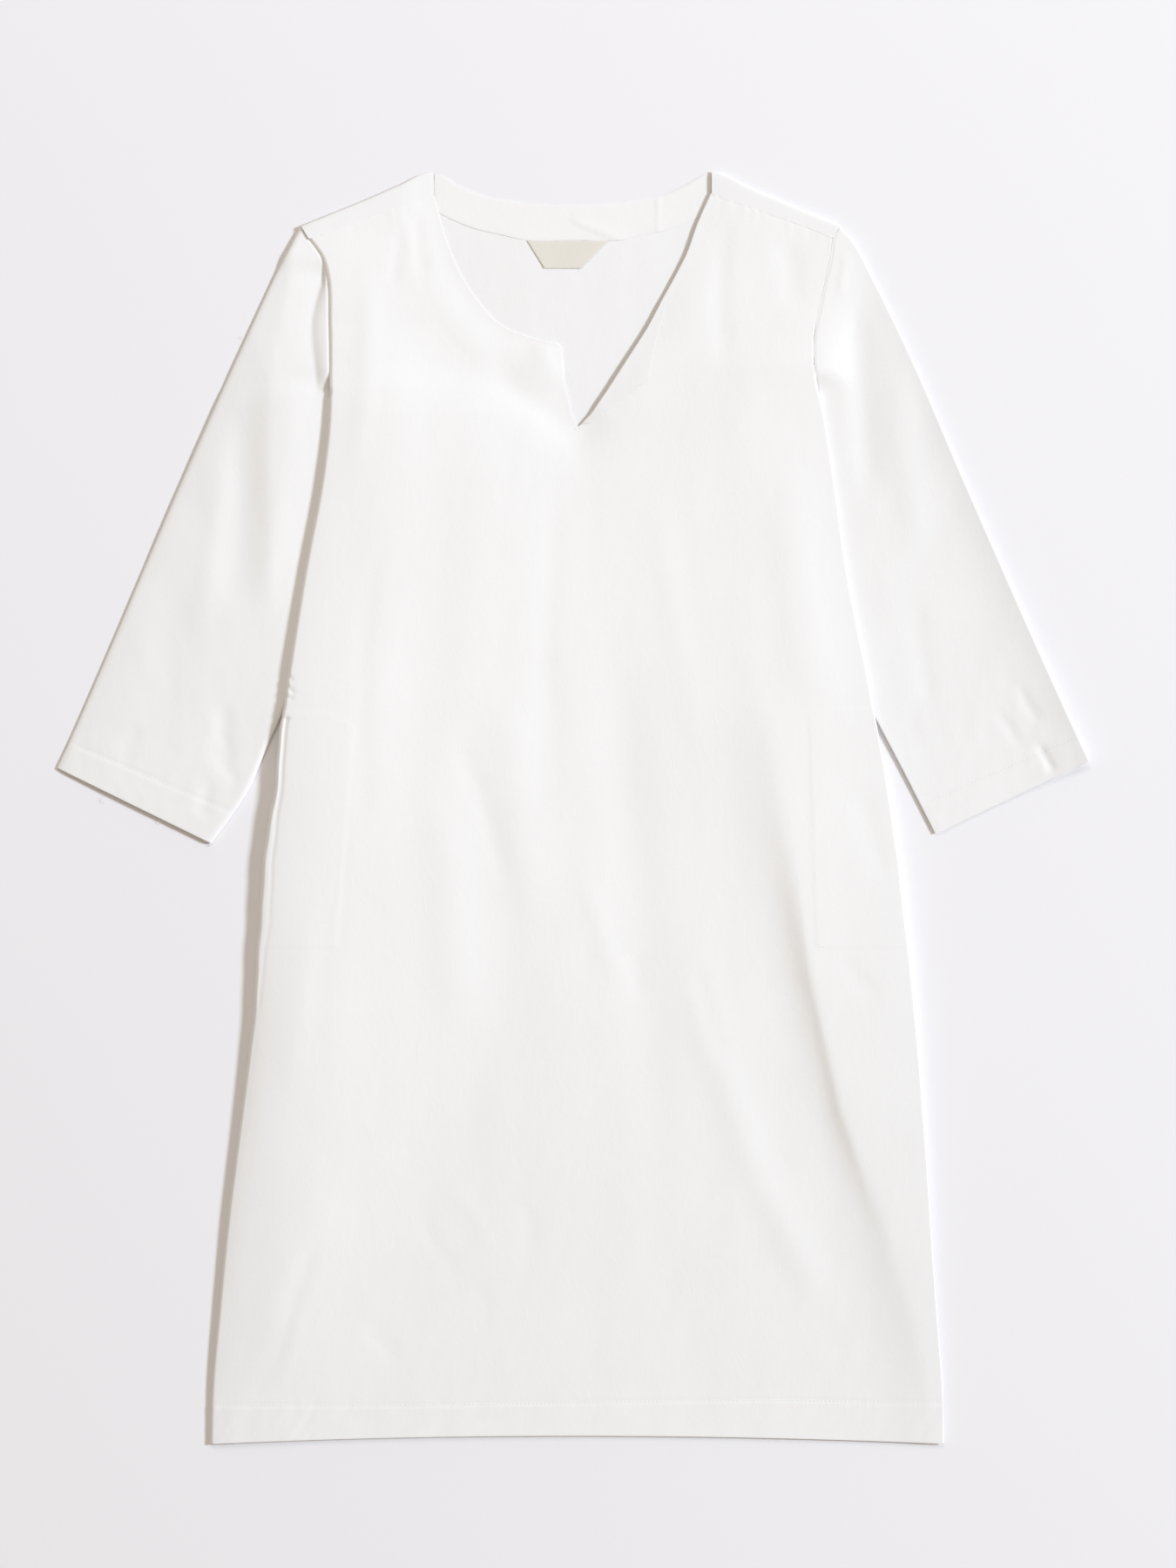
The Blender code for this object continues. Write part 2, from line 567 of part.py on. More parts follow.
def armhole_line(sign, shares, outer, inner):
    """The armhole seam in plan: down the body's edge, then in under the body to the underarm."""
    points = [(outer[0].across, outer[0].down)]
    points += [(sign * (visible_edge(sign, d) + ARMHOLE_GAP), d) for d in ARMHOLE_ROWS]
    points += [(sign * (visible_edge(sign, d) - under), d) for d, under in UNDERARM_CURVE]
    points.append((inner[0].across, inner[0].down))
    points = np.array(points, float)
    spans = np.concatenate([[0.0], np.cumsum(np.linalg.norm(np.diff(points, axis=0), axis=1))])
    at = shares * spans[-1]
    return np.stack([np.interp(at, spans, points[:, 0]), np.interp(at, spans, points[:, 1])], -1)


def facing_rows():
    across = np.linspace(-FACING_HALF, FACING_HALF, FACING_COLUMNS)
    upper = top_edge(across) + FACING_INSET
    lower = line(FACING_EDGE, "across", "down", np.abs(across))
    return np.array([place(across, upper + (lower - upper) * t, WALL + LYING_GAP) for t in TRIM_ROWS])


def label_rows():
    rows = []
    for t in TRIM_ROWS:
        left = LABEL_TOP[0] + (LABEL_BOTTOM[0] - LABEL_TOP[0]) * t
        right = LABEL_TOP[1] + (LABEL_BOTTOM[1] - LABEL_TOP[1]) * t
        down = LABEL_DOWN + LABEL_DEPTH * t
        rows.append(place(np.linspace(left, right, TRIM_COLUMNS), down, WALL + LYING_GAP))
    return np.array(rows)


def lapel_rows():
    """The turned-out corner lies on the front beside the fold that forms the slit's right edge."""
    rows = []
    for rise in np.linspace(LAPEL_EDGE[-1].rise, LAPEL_LOWEST, LAPEL_STEPS):
        start = [line(NECK_RIGHT, "rise", name, rise) for name in ("across", "down")]
        end = [line(LAPEL_EDGE, "rise", name, rise) for name in ("across", "down")]
        t = np.linspace(0.0, 1.0, TRIM_COLUMNS)
        across = start[0] + SEAM_GAP + (end[0] - start[0]) * t
        down = start[1] + (end[1] - start[1]) * t
        rows.append(place(across, down, body_top(across, down) + TURNED_CORNER_GAP))
    return np.array(rows)


def pocket_rows(sign):
    """A pocket bag lies under the front, made from the front's points moved in."""
    rows = []
    for down in LOWER_ROWS:
        if POCKET_RANGE[0] <= down <= POCKET_RANGE[1]:
            row = front_half(sign, down)[TURN_STEPS + TUCK_STEPS:]
            inside = visible_edge(sign, down) - sign * row[:, 0] / MM
            row = row[inside <= POCKET_REACH][:POCKET_COLUMNS] - (0.0, 0.0, (WALL + LYING_GAP) * MM)
            rows.append(row if sign < 0 else row[::-1])
    return np.array(rows)


def build():
    for thing in list(bpy.data.objects):
        bpy.data.objects.remove(thing, do_unlink=True)
    garment = bpy.data.collections.new("kurta_tunic")
    bpy.context.scene.collection.children.link(garment)
    white = material("white_cotton_front", COTTON, 0.85)
    middle = FRONT_RUN + TURN_STEPS + TUCK_STEPS
    cloth("front_panel", mesh_from_rows("front_panel", front_rows(), split=middle), white, garment)
    cloth("back_panel", mesh_from_rows("back_panel", back_rows()),
          material("white_cotton_back", COTTON_INSIDE, 0.85), garment)
    left = sleeve_rows(-1, LEFT_OUTER, LEFT_INNER, LEFT_SLEEVE_FOLDS)
    right = sleeve_rows(1, RIGHT_OUTER, RIGHT_INNER, RIGHT_SLEEVE_FOLDS)[:, ::-1]
    cloth("left_sleeve", mesh_from_rows("left_sleeve", left, closed=True),
          material("white_cotton_left_sleeve", COTTON, 0.85), garment)
    cloth("right_sleeve", mesh_from_rows("right_sleeve", right, closed=True),
          material("white_cotton_right_sleeve", COTTON, 0.85), garment)
    cloth("back_neck_facing", mesh_from_rows("back_neck_facing", facing_rows()),
          material("white_cotton_facing", COTTON, 0.85), garment, outwards=True)
    cloth("neck_label", mesh_from_rows("neck_label", label_rows()),
          material("cream_label_tape", LABEL_TAPE, 0.8), garment, outwards=True)
    cloth("front_neck_facing", mesh_from_rows("front_neck_facing", lapel_rows()),
          material("white_cotton_turned_corner", COTTON_INSIDE, 0.85), garment, outwards=True)
    for sign, name in ((-1, "left_pocket_bag"), (1, "right_pocket_bag")):
        cloth(name, mesh_from_rows(name, pocket_rows(sign)),
              material("white_cotton_" + name, COTTON_INSIDE, 0.9), garment)


build()
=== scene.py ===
"""Looks of a white cotton kurta tunic, laid flat on its back: neck towards +Y, hem towards -Y.

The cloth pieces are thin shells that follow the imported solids, a little lower at their edges, with
finer folds, hems, puckers and stitches. Sizes and tables are in millimetres. Across is measured from
the garment's middle line, + to +X, and down is measured from the neck points towards the hem. The
cloth lies on the plane z = 0.
"""

import math
from collections import namedtuple

import bmesh
import bpy
import numpy as np
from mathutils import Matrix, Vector, noise


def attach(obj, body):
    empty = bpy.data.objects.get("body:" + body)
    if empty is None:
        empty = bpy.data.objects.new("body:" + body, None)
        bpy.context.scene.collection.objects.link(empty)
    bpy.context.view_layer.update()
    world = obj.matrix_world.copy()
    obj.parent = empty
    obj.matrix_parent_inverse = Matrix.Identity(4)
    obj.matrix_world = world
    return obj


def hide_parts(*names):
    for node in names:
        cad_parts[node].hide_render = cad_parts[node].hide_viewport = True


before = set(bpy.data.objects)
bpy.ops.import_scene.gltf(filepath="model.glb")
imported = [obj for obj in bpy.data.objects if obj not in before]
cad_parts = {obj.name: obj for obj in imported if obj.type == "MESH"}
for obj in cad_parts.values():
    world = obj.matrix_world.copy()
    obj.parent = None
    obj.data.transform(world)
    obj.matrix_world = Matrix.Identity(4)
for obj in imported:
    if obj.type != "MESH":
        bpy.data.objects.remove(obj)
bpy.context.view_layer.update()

MM = 0.001

# Sizes of the garment and of how its layers lie
LENGTH = 921.0  # neck point to hem
NECK_POINT_Y = LENGTH / 2.0
CLOTH = 0.25  # thickness of the panels' shells
TRIM = 0.2  # thickness of the facings and the label
SEAM_GAP = 0.5
LYING_GAP = 0.35
LEFT_PRESSED = 4.2  # top of a sleeve where the body's edge lies over it
RIGHT_PRESSED = 2.5
SLEEVE_HELD = 6.0
PRESSED_FROM = 145.0
PRESSED_WITHIN = 12.0
LEFT_ROLL = 3.0  # how far in the rounded side edges of the body start
RIGHT_ROLL = 0.9
LEAST_ROLL = 0.3
RIGHT_ROUND = 1.1  # the right edges are rounded over this height, and slope in below it
RIGHT_UNDER = 6.0  # by this
LEFT_SOFT = 11.0  # how far in the front lies lower beside its edges
RIGHT_SOFT = 36.0
LEFT_SLEEVE_ROLL = 4.0
RIGHT_SLEEVE_ROLL = 1.0
LEFT_SLEEVE_ROUND = 0.5  # share of the height that is rounded on top
RIGHT_SLEEVE_ROUND = 0.22
RIGHT_SLEEVE_UNDER = 8.0
SHOULDER_ROLL = 4.0
SHOULDER_UNDER = 5.4
SHOULDER_ROUND = 1.0
HEM_RISE = 5.8
NECK_HALF = 100.6
SLIT_DOWN = 184.9
SLIT_CORNER = 0.31  # rise of the corner where the round neck meets the slit
SHOULDER_TIP = 40.0
TOP_ROW = 47.0
ARMHOLE_FREE = 150.0
CREST_SHARE = 0.22  # softness of the crest above the tucked side, as a share of its reach
CREST_RANGE = (2.5, 14.0)
STEP_DOWN_TO_FLOOR = 25.0
TUCK_CLEAR = 3.0
BACK_ON_FLOOR = 125.0
BACK_IN_ROLL = 150.0
CHEST_FULL = 216.0
HEM_CURVE_FROM = 700.0
BACK_HEM_SHORT = 1.5
BACK_HEM_FROM = 850.0
SLIT_LINE_FADES = 80.0
FOLD_FADE = 0.3
SLEEVE_SWELL = 30.0
CUFF_PEEK = 3.5
CUFF_PEEK_FROM = 0.9
TURNED_CORNER_GAP = 0.1
FACING_INSET = 0.8
FACING_GAP = 0.05
FACING_HALF = 100.3
LEFT_NECK_LOW = 1.85  # the front lies lower at its neck edges, within this distance of them
RIGHT_NECK_LOW = 0.5
NECK_SOFT = 18.0
HEM_LOW = 0.5  # and lower at the hem, from here down
HEM_LOW_FROM = 850.0
HEM_LOW_INSIDE = 45.0
POCKET_RANGE = (388.0, 562.0)
POCKET_REACH = 56.0
CUFF_HEM_DEPTH = 28.0

# Side edges, down the garment: the visible edge's distance from the middle line, how wide the cloth is
# turned under (tuck), how wide the front is held up (bed) and how far inwards it then comes down
# (reach), top and bottom of the rounded edge (height, lift), how much lower the front is right at the
# edge (soft), degrees that the cloth turns, and room between the front and the back (ease)
Side = namedtuple("Side", "down edge tuck bed reach height lift soft turn ease")
LEFT_SIDE = (
    Side(40, 196.6, 1.5, 0.0, 60, 4.5, 0.0, 0.0, 35, 1.0),
    Side(46, 193.0, 1.5, 0.0, 60, 4.5, 0.0, 0.0, 35, 1.0),
    Side(63, 181.4, 1.5, 2.0, 60, 4.5, 0.0, 0.0, 35, 1.0),
    Side(74, 178.3, 1.5, 4.0, 60, 4.6, 0.0, 0.0, 35, 1.0),
    Side(110, 176.4, 1.5, 16.0, 60, 5.2, 0.0, 0.0, 35, 1.0),
    Side(140, 175.8, 1.5, 30.0, 70, 6.8, 1.4, 0.2, 35, 1.0),
    Side(158, 175.7, 1.5, 40.0, 90, 8.8, 4.6, 0.4, 35, 1.0),
    Side(174, 176.0, 2.0, 48.0, 110, 9.6, 4.6, 0.5, 180, 1.0),
    Side(216, 180.2, 60.0, 58.0, 130, 10.2, 4.6, 0.6, 180, 1.0),
    Side(292, 194.0, 52.0, 56.0, 150, 10.4, 4.6, 0.8, 180, 1.0),
    Side(380, 207.9, 42.0, 46.0, 150, 11.2, 4.6, 0.8, 180, 1.9),
    Side(408, 212.0, 39.0, 43.0, 150, 11.2, 4.4, 1.0, 180, 1.9),
    Side(445, 215.6, 35.0, 39.0, 150, 10.8, 0.0, 1.4, 180, 1.9),
    Side(470, 220.0, 33.0, 37.0, 150, 10.4, 0.0, 1.6, 180, 1.9),
    Side(507, 224.3, 30.0, 34.0, 150, 10.2, 0.0, 1.8, 180, 1.9),
    Side(545, 227.3, 27.0, 31.0, 150, 10.0, 0.0, 2.2, 180, 1.9),
    Side(608, 230.8, 22.0, 26.0, 150, 10.1, 0.0, 3.0, 180, 1.0),
    Side(645, 235.2, 19.0, 23.0, 150, 9.5, 0.0, 3.4, 180, 1.0),
    Side(696, 241.8, 16.0, 20.0, 140, 8.5, 0.0, 3.2, 180, 1.0),
    Side(759, 249.8, 12.0, 16.0, 130, 7.3, 0.0, 2.4, 180, 0.8),
    Side(822, 256.1, 8.0, 12.0, 120, 6.0, 0.0, 1.4, 180, 0.7),
    Side(885, 261.5, 4.0, 8.0, 110, 4.8, 0.0, 0.7, 180, 0.6),
    Side(922, 262.4, 2.0, 6.0, 100, 4.3, 0.0, 0.3, 180, 0.6),
)
RIGHT_SIDE = (
    Side(40, 192.6, 0.8, 0.0, 60, 4.4, 0.0, 0.0, 12, 1.0),
    Side(47, 189.0, 0.8, 0.0, 60, 4.4, 0.0, 0.0, 12, 1.0),
    Side(64, 186.5, 0.8, 2.0, 60, 4.4, 0.0, 0.0, 12, 1.0),
    Side(79, 182.7, 0.8, 5.0, 60, 4.5, 0.0, 0.0, 12, 1.0),
    Side(95, 179.5, 0.8, 10.0, 60, 4.8, 0.0, 0.0, 12, 1.0),
    Side(120, 174.5, 0.8, 20.0, 60, 5.4, 0.0, 0.0, 12, 1.0),
    Side(142, 174.6, 1.2, 31.0, 60, 6.6, 1.0, 0.0, 20, 1.0),
    Side(158, 177.2, 1.5, 46.0, 56, 6.2, 3.0, 0.0, 35, 0.7),
    Side(174, 180.8, 2.0, 60.0, 50, 6.1, 3.0, 0.0, 180, 0.7),
    Side(216, 187.6, 60.0, 70.0, 46, 6.3, 3.0, 0.0, 180, 0.7),
    Side(292, 198.4, 52.0, 78.0, 44, 7.1, 3.0, 0.2, 180, 0.9),
    Side(375, 214.6, 42.0, 80.0, 40, 9.0, 3.0, 0.5, 180, 1.9),
    Side(402, 219.6, 39.0, 80.0, 36, 9.5, 3.0, 0.6, 180, 1.9),
    Side(445, 227.3, 35.0, 79.5, 28, 9.6, 0.0, 0.7, 180, 1.9),
    Side(481, 232.5, 31.0, 79.0, 19, 9.8, 0.0, 0.9, 180, 1.9),
    Side(526, 238.2, 27.0, 77.0, 13, 10.0, 0.0, 1.0, 180, 1.9),
    Side(576, 243.7, 24.0, 74.0, 10.5, 9.9, 0.0, 1.1, 180, 1.4),
    Side(633, 249.4, 21.0, 66.5, 9.5, 9.0, 0.0, 1.1, 180, 1.0),
    Side(680, 253.2, 18.0, 59.5, 9.5, 8.7, 0.0, 1.2, 180, 1.0),
    Side(734, 257.2, 14.0, 44.5, 13, 7.9, 0.0, 1.1, 180, 1.0),
    Side(765, 259.2, 12.0, 34.5, 16, 7.3, 0.0, 1.0, 180, 1.0),
    Side(835, 264.2, 8.0, 19.0, 20, 6.3, 0.0, 1.0, 180, 0.8),
    Side(885, 267.9, 4.0, 10.0, 22, 5.3, 0.0, 1.2, 180, 0.7),
    Side(922, 268.5, 2.0, 5.0, 24, 4.5, 0.0, 0.9, 180, 0.6),
)
# Top of the front over its middle
Middle = namedtuple("Middle", "down loft")
MIDDLE = (Middle(0, 3.1), Middle(150, 3.2), Middle(190, 3.8), Middle(235, 5.0), Middle(300, 6.0),
          Middle(400, 6.1), Middle(480, 5.6), Middle(560, 5.0), Middle(640, 4.4), Middle(760, 3.8),
          Middle(922, 3.4))

# Front neck edges, from the slit's bottom (rise 0) to the shoulder seam (rise 1)
Neck = namedtuple("Neck", "rise across down")
NECK_LEFT = (
    Neck(0.00, 4.1, 184.9),
    Neck(0.12, -0.9, 174.8),
    Neck(0.22, -5.4, 153.3),
    Neck(0.31, -7.9, 124.9),
    Neck(0.40, -26.2, 121.2),
    Neck(0.50, -49.5, 112.3),
    Neck(0.62, -66.6, 95.9),
    Neck(0.74, -80.5, 75.1),
    Neck(0.87, -91.8, 48.6),
    Neck(1.00, -100.6, 17.0),
)
NECK_RIGHT = (
    Neck(0.00, 4.1, 184.9),
    Neck(0.12, 13.6, 174.8),
    Neck(0.22, 24.9, 158.4),
    Neck(0.31, 40.7, 133.8),
    Neck(0.40, 53.3, 114.2),
    Neck(0.50, 62.8, 96.5),
    Neck(0.62, 72.2, 79.5),
    Neck(0.74, 82.3, 59.9),
    Neck(0.87, 90.5, 37.2),
    Neck(1.00, 100.0, 16.0),
)
# The free edge of the corner of the slit that is turned outward
LAPEL_EDGE = (
    Neck(0.00, 9.0, 184.0),
    Neck(0.12, 24.0, 173.0),
    Neck(0.22, 40.0, 161.0),
    Neck(0.31, 54.0, 150.2),
    Neck(0.40, 59.0, 125.0),
    Neck(0.50, 66.5, 97.5),
)

# Back neck edge and shoulder fold, and the lower edge of the back neck facing
Level = namedtuple("Level", "across down")
TOP_EDGE = (
    Level(0, 24.0),
    Level(25, 23.0),
    Level(46, 20.5),
    Level(63, 17.5),
    Level(82, 9.5),
    Level(100.6, 0.0),
    Level(126, 10.0),
    Level(145, 18.5),
    Level(164, 26.5),
    Level(197, 40.0),
)
FACING_EDGE = (
    Level(0, 49.5),
    Level(34, 49.5),
    Level(55, 45.0),
    Level(72, 41.0),
    Level(88, 34.5),
    Level(97, 30.0),
)
SHOULDER_SEAM = (Level(100.6, 16.5), Level(193, 48.0))
LABEL_TOP = (-33.0, 25.6)
LABEL_BOTTOM = (-20.5, 6.0)
LABEL_DOWN = 50.0
LABEL_DEPTH = 20.0
HEM_STITCHES = (Level(-262, 892.9), Level(-99.4, 892.9), Level(140.4, 889.1), Level(270, 891.6))

# Sleeves: outer edge from the shoulder tip to the cuff, and inner edge from the underarm
Edge = namedtuple("Edge", "along across down")
LEFT_OUTER = (
    Edge(0.00, -197.4, 40.4),
    Edge(0.06, -203.5, 52.0),
    Edge(0.12, -213.0, 70.0),
    Edge(0.25, -237.0, 121.0),
    Edge(0.50, -285.5, 229.0),
    Edge(0.75, -332.8, 339.5),
    Edge(0.93, -364.4, 412.0),
    Edge(1.00, -373.6, 431.6),
)
RIGHT_OUTER = (
    Edge(0.00, 193.4, 40.4),
    Edge(0.06, 205.0, 54.0),
    Edge(0.12, 216.0, 75.0),
    Edge(0.25, 240.0, 124.0),
    Edge(0.50, 285.5, 229.0),
    Edge(0.75, 335.4, 342.6),
    Edge(0.93, 365.0, 408.0),
    Edge(1.00, 373.6, 426.6),
)
LEFT_INNER = (
    Edge(0.00, -125.2, 216.0),
    Edge(0.78, -222.4, 419.6),
    Edge(0.89, -236.0, 450.0),
    Edge(1.00, -261.5, 486.5),
)
RIGHT_INNER = (
    Edge(0.00, 132.6, 216.0),
    Edge(0.70, 217.4, 393.1),
    Edge(0.85, 238.5, 433.0),
    Edge(1.00, 262.2, 479.6),
)
ARMHOLE_GAP = -0.3
ARMHOLE_GROOVE = 0.25
ARMHOLE_STEP = 0.5  # the right sleeve stands this much above the body at its seam
ARMHOLE_ROWS = (46.5, 52, 63, 74, 92, 110, 128, 150)
UNDERARM_CURVE = ((168.0, 4.0), (186.0, 20.0))

# Folds: height (- is a trough), width, and route down the cloth. The body's first eight are in the
# solids too.
Fold = namedtuple("Fold", "height width route")
BODY_FOLDS = (
    Fold(0.8, 13, ((84, 540), (102, 633), (127, 709), (162, 784), (202, 850))),
    Fold(-0.8, 24, ((-112, 60), (-106, 128), (-100, 223), (-106, 349), (-122, 444), (-128, 532))),
    Fold(1.0, 20, ((-62, 360), (-44, 410), (-36, 480), (-30, 560))),
    Fold(0.9, 18, ((-98, 440), (-88, 500), (-84, 570), (-82, 640))),
    Fold(-0.9, 20, ((27, 300), (34, 400), (44, 507), (50, 595), (54, 700))),
    Fold(0.9, 26, ((-178, 700), (-200, 800), (-222, 885))),
    Fold(0.4, 20, ((36, 192), (52, 150), (72, 120), (90, 90), (104, 60))),
    Fold(1.0, 20, ((150, 180), (156, 254), (170, 349), (188, 420))),
    # Smaller ones, from the shoulders and the neck down to the hem
    Fold(-0.4, 6, ((88, 566), (98, 612), (112, 655))),
    Fold(-0.4, 8, ((-88, 398), (-64, 462), (-42, 532))),
    Fold(0.35, 8, ((4, 500), (20, 548), (36, 600))),
    Fold(-0.3, 5, ((44, 560), (46, 582), (47, 600))),
    Fold(-0.4, 7, ((-178, 760), (-196, 800), (-212, 850), (-226, 886))),
    Fold(-0.2, 5, ((-112, 745), (-104, 770), (-90, 790), (-82, 812))),
    Fold(0.2, 6, ((-98, 734), (-82, 742), (-66, 762), (-60, 790))),
    Fold(-0.2, 6, ((-70, 800), (-62, 824), (-64, 846))),
    Fold(-0.3, 6, ((-148, 830), (-138, 850), (-124, 862))),
    Fold(-0.25, 5, ((-36, 742), (-30, 764), (-34, 786))),
    Fold(-0.3, 7, ((196, 566), (206, 586), (224, 600))),
    Fold(-0.4, 9, ((206, 440), (214, 476), (226, 520))),
    Fold(-0.9, 12, ((-62, 128), (-44, 152), (-22, 172), (0, 188))),
    Fold(0.8, 9, ((-30, 124), (-16, 140), (-6, 160))),
    Fold(-0.5, 6, ((-114, 26), (-112, 52), (-108, 84))),
    Fold(-0.35, 5, ((-122, 34), (-126, 56), (-132, 88))),
    Fold(-0.4, 7, ((112, 24), (108, 60), (106, 100), (112, 150))),
    Fold(-0.5, 9, ((150, 44), (158, 70), (160, 104))),
    Fold(0.35, 8, ((-150, 60), (-146, 110), (-150, 170), (-160, 240))),
    Fold(-0.35, 9, ((-140, 250), (-150, 330), (-152, 420), (-148, 500))),
    Fold(0.3, 10, ((60, 220), (70, 300), (84, 380), (92, 450))),
    Fold(-0.3, 8, ((-12, 210), (-16, 280), (-20, 360), (-14, 430))),
    Fold(0.3, 9, ((-190, 520), (-196, 600), (-206, 680))),
)
LEFT_SLEEVE_FOLDS = (
    Fold(-1.2, 14, ((-236, 140), (-239, 229), (-240, 330))),
    Fold(-0.5, 16, ((-289, 267), (-292, 355), (-300, 430))),
    Fold(-0.6, 7, ((-254, 380), (-252, 412), (-256, 440))),
    Fold(-0.4, 5, ((-262, 440), (-266, 456), (-274, 468))),
    Fold(-0.3, 4, ((-246, 418), (-250, 432), (-240, 446))),
    Fold(-0.3, 4, ((-262, 404), (-252, 412), (-244, 428))),
    Fold(-0.3, 6, ((-312, 400), (-322, 416), (-326, 432))),
    Fold(0.5, 10, ((-250, 180), (-262, 280), (-270, 350))),
    Fold(0.3, 6, ((-204, 56), (-206, 84), (-214, 120))),
)
RIGHT_SLEEVE_FOLDS = (
    Fold(-1.2, 12, ((206, 84), (208, 160), (214, 254))),
    Fold(0.7, 12, ((232, 120), (240, 200), (252, 290))),
    Fold(0.9, 4, ((194.7, 54), (196, 66), (193.4, 80), (193.4, 94))),
    Fold(-0.5, 4, ((322, 370), (330, 388), (340, 400))),
    Fold(-0.4, 4, ((306, 392), (316, 402), (322, 416))),
    Fold(-0.4, 8, ((246, 300), (252, 350), (262, 400))),
    Fold(-0.9, 3, ((336, 412), (342, 424), (349, 437))),
)
# A ledge: the cloth stands higher on one side of its route, and comes down over unlike distances to
# the left and to the right of it, going down the cloth
Ledge = namedtuple("Ledge", "height right left route")
LEFT_SLEEVE_LEDGES = (
    Ledge(2.0, 22.0, 60.0, ((-214, 84), (-219, 160), (-219, 230), (-218, 300), (-217, 345))),
)
# Along each sleeve: its height, how much higher its outer edge is, and how wide that part is
Loft = namedtuple("Loft", "along height rim reach")
LEFT_LOFT = (Loft(0.0, 4.8, -0.5, 14), Loft(0.12, 4.6, -0.8, 16), Loft(0.35, 3.9, -1.7, 16),
             Loft(0.8, 3.7, -1.9, 16), Loft(1.0, 3.5, -1.5, 16))
RIGHT_LOFT = (Loft(0.0, 4.6, 0.0, 12), Loft(0.12, 3.8, 0.4, 12), Loft(0.3, 3.1, 1.4, 14),
              Loft(0.5, 2.8, 2.2, 15), Loft(0.63, 2.5, 3.2, 18), Loft(0.77, 2.2, 4.2, 24),
              Loft(1.0, 2.1, 5.0, 25))
Sleeve = namedtuple("Sleeve", "sign outer inner folds loft")
LEFT_SLEEVE = Sleeve(-1, LEFT_OUTER, LEFT_INNER, LEFT_SLEEVE_FOLDS, LEFT_LOFT)
RIGHT_SLEEVE = Sleeve(1, RIGHT_OUTER, RIGHT_INNER, RIGHT_SLEEVE_FOLDS, RIGHT_LOFT)
# The left sleeve is tucked beside the armhole: beyond this line it lies lower, over this distance
SLEEVE_TUCK = ((-180.1, 62), (-181, 79), (-184.6, 90), (-188.4, 105), (-189, 117), (-187.1, 134),
               (-185.2, 150), (-183.9, 164))
TUCK_DROP = 2.3
TUCK_REACH = 80.0

# Pocket bags as they print through the front: inner edge, top and bottom
Bag = namedtuple("Bag", "sign top bottom inner_top inner_bottom")
BAGS = (Bag(-1, 391.0, 562.0, -156.0, -170.0), Bag(1, 388.0, 562.0, 169.4, 175.1))
# The mouth of the left pocket shows along the rounded side edge, this far in from it
Mouth = namedtuple("Mouth", "down inset depth")
MOUTH = (
    Mouth(394, 4.0, 0.0),
    Mouth(398, 4.0, 1.0),
    Mouth(430, 4.6, 0.9),
    Mouth(455, 4.8, 0.7),
    Mouth(482, 6.5, 0.5),
    Mouth(540, 7.5, 0.3),
    Mouth(600, 4.0, 0.3),
    Mouth(612, 2.0, 0.0),
)
# Creases that a bar tack pulls in above the mouth: from the edge inwards
TACK_CREASES = (((-208.6, 362), (-203, 368)), ((-209.4, 370), (-202, 377)),
                ((-210, 380), (-203, 382)))

# Heights of the finest relief
HEM_BAND = 0.18
HEM_PULL = 0.16
HEM_CRUMPLE = 0.2
HEM_PUCKER = 0.1
CUFF_BAND = 0.15
CUFF_PULL = 0.2
FRONT_DRAPE = 0.16
BAG_PRINT = 0.12
BAG_RIDGE = 0.03
SEAM_PUCKER = 0.16
BACK_DRAPE = 0.16
BACK_CRUMPLE = 0.10
BACK_CLEAR = 0.12
SLEEVE_DRAPE = 0.14
MOUTH_DEPTH = 0.9
TACK_DEPTH = 0.8
CREASE_DEPTH = 0.7
FACING_LIFT = 0.2
FACING_PLEAT = 0.5
FACING_SEAM = 0.2
LABEL_LIFT = 0.15
LABEL_CURL = 0.25
LABEL_WAVE = 0.1
CORNER_CURL = 0.012
BAG_CLEAR = 0.6
LEDGE_ROUND = 3.0
UNDERARM = 165.0  # the armhole seams' relief fades out above here
ARMHOLE_FADE = 15.0
GROOVE_IN = 0.5
GROOVE_WIDTH = 0.9
WRAP_RISE = 0.02

# Spacing of the fine rows and columns
FRONT_ROWS = ((47, 184.9, 3.0), (188.5, 356, 4.2), (358, 402, 1.4), (405.5, 554, 4.2), (556, 569, 1.5),
              (573, 881, 4.2), (884, 921, 1.5))
FRONT_SIDE_STEPS = ((0, 12, 1.4), (15, 44, 4.2), (46.5, 70, 1.6))
FRONT_MIDDLE_RUN = 40
BACK_ROWS = ((47, 184.9, 3.5), (189, 921, 5.0))
BACK_MIDDLE_RUN = 30
BACK_SIDE_RUN = 16
TURN_STEPS = 12
TUCK_STEPS = 3
SHOULDER_ANGLES = 10
SHOULDER_STEPS = 6
SHOULDER_LAP = 1.3  # the back's seam edge lies on the front by this
SLEEVE_ACROSS = 60
SLEEVE_EDGE_SHARES = (0.0, 0.002, 0.006, 0.012, 0.02, 0.03, 0.042)


def smooth(t):
    t = np.clip(t, 0.0, 1.0)
    return t * t * (3.0 - 2.0 * t)


def column(rows, name):
    return np.array([getattr(row, name) for row in rows], float)


def curve(rows, key, name, at):
    """A smooth curve through a table's values, each slope taken from the rows beside it."""
    knots = column(rows, key)
    values = column(rows, name)
    slopes = np.gradient(values, knots)
    at = np.clip(np.asarray(at, float), knots[0], knots[-1])
    i = np.clip(np.searchsorted(knots, at) - 1, 0, len(knots) - 2)
    step = knots[i + 1] - knots[i]
    t = (at - knots[i]) / step
    bend = t * t * (3.0 - 2.0 * t)
    start = slopes[i] * step * t * (1.0 - t) ** 2
    end = slopes[i + 1] * step * t * t * (t - 1.0)
    return values[i] + (values[i + 1] - values[i]) * bend + start + end


def line(rows, key, name, at):
    return np.interp(at, column(rows, key), column(rows, name))


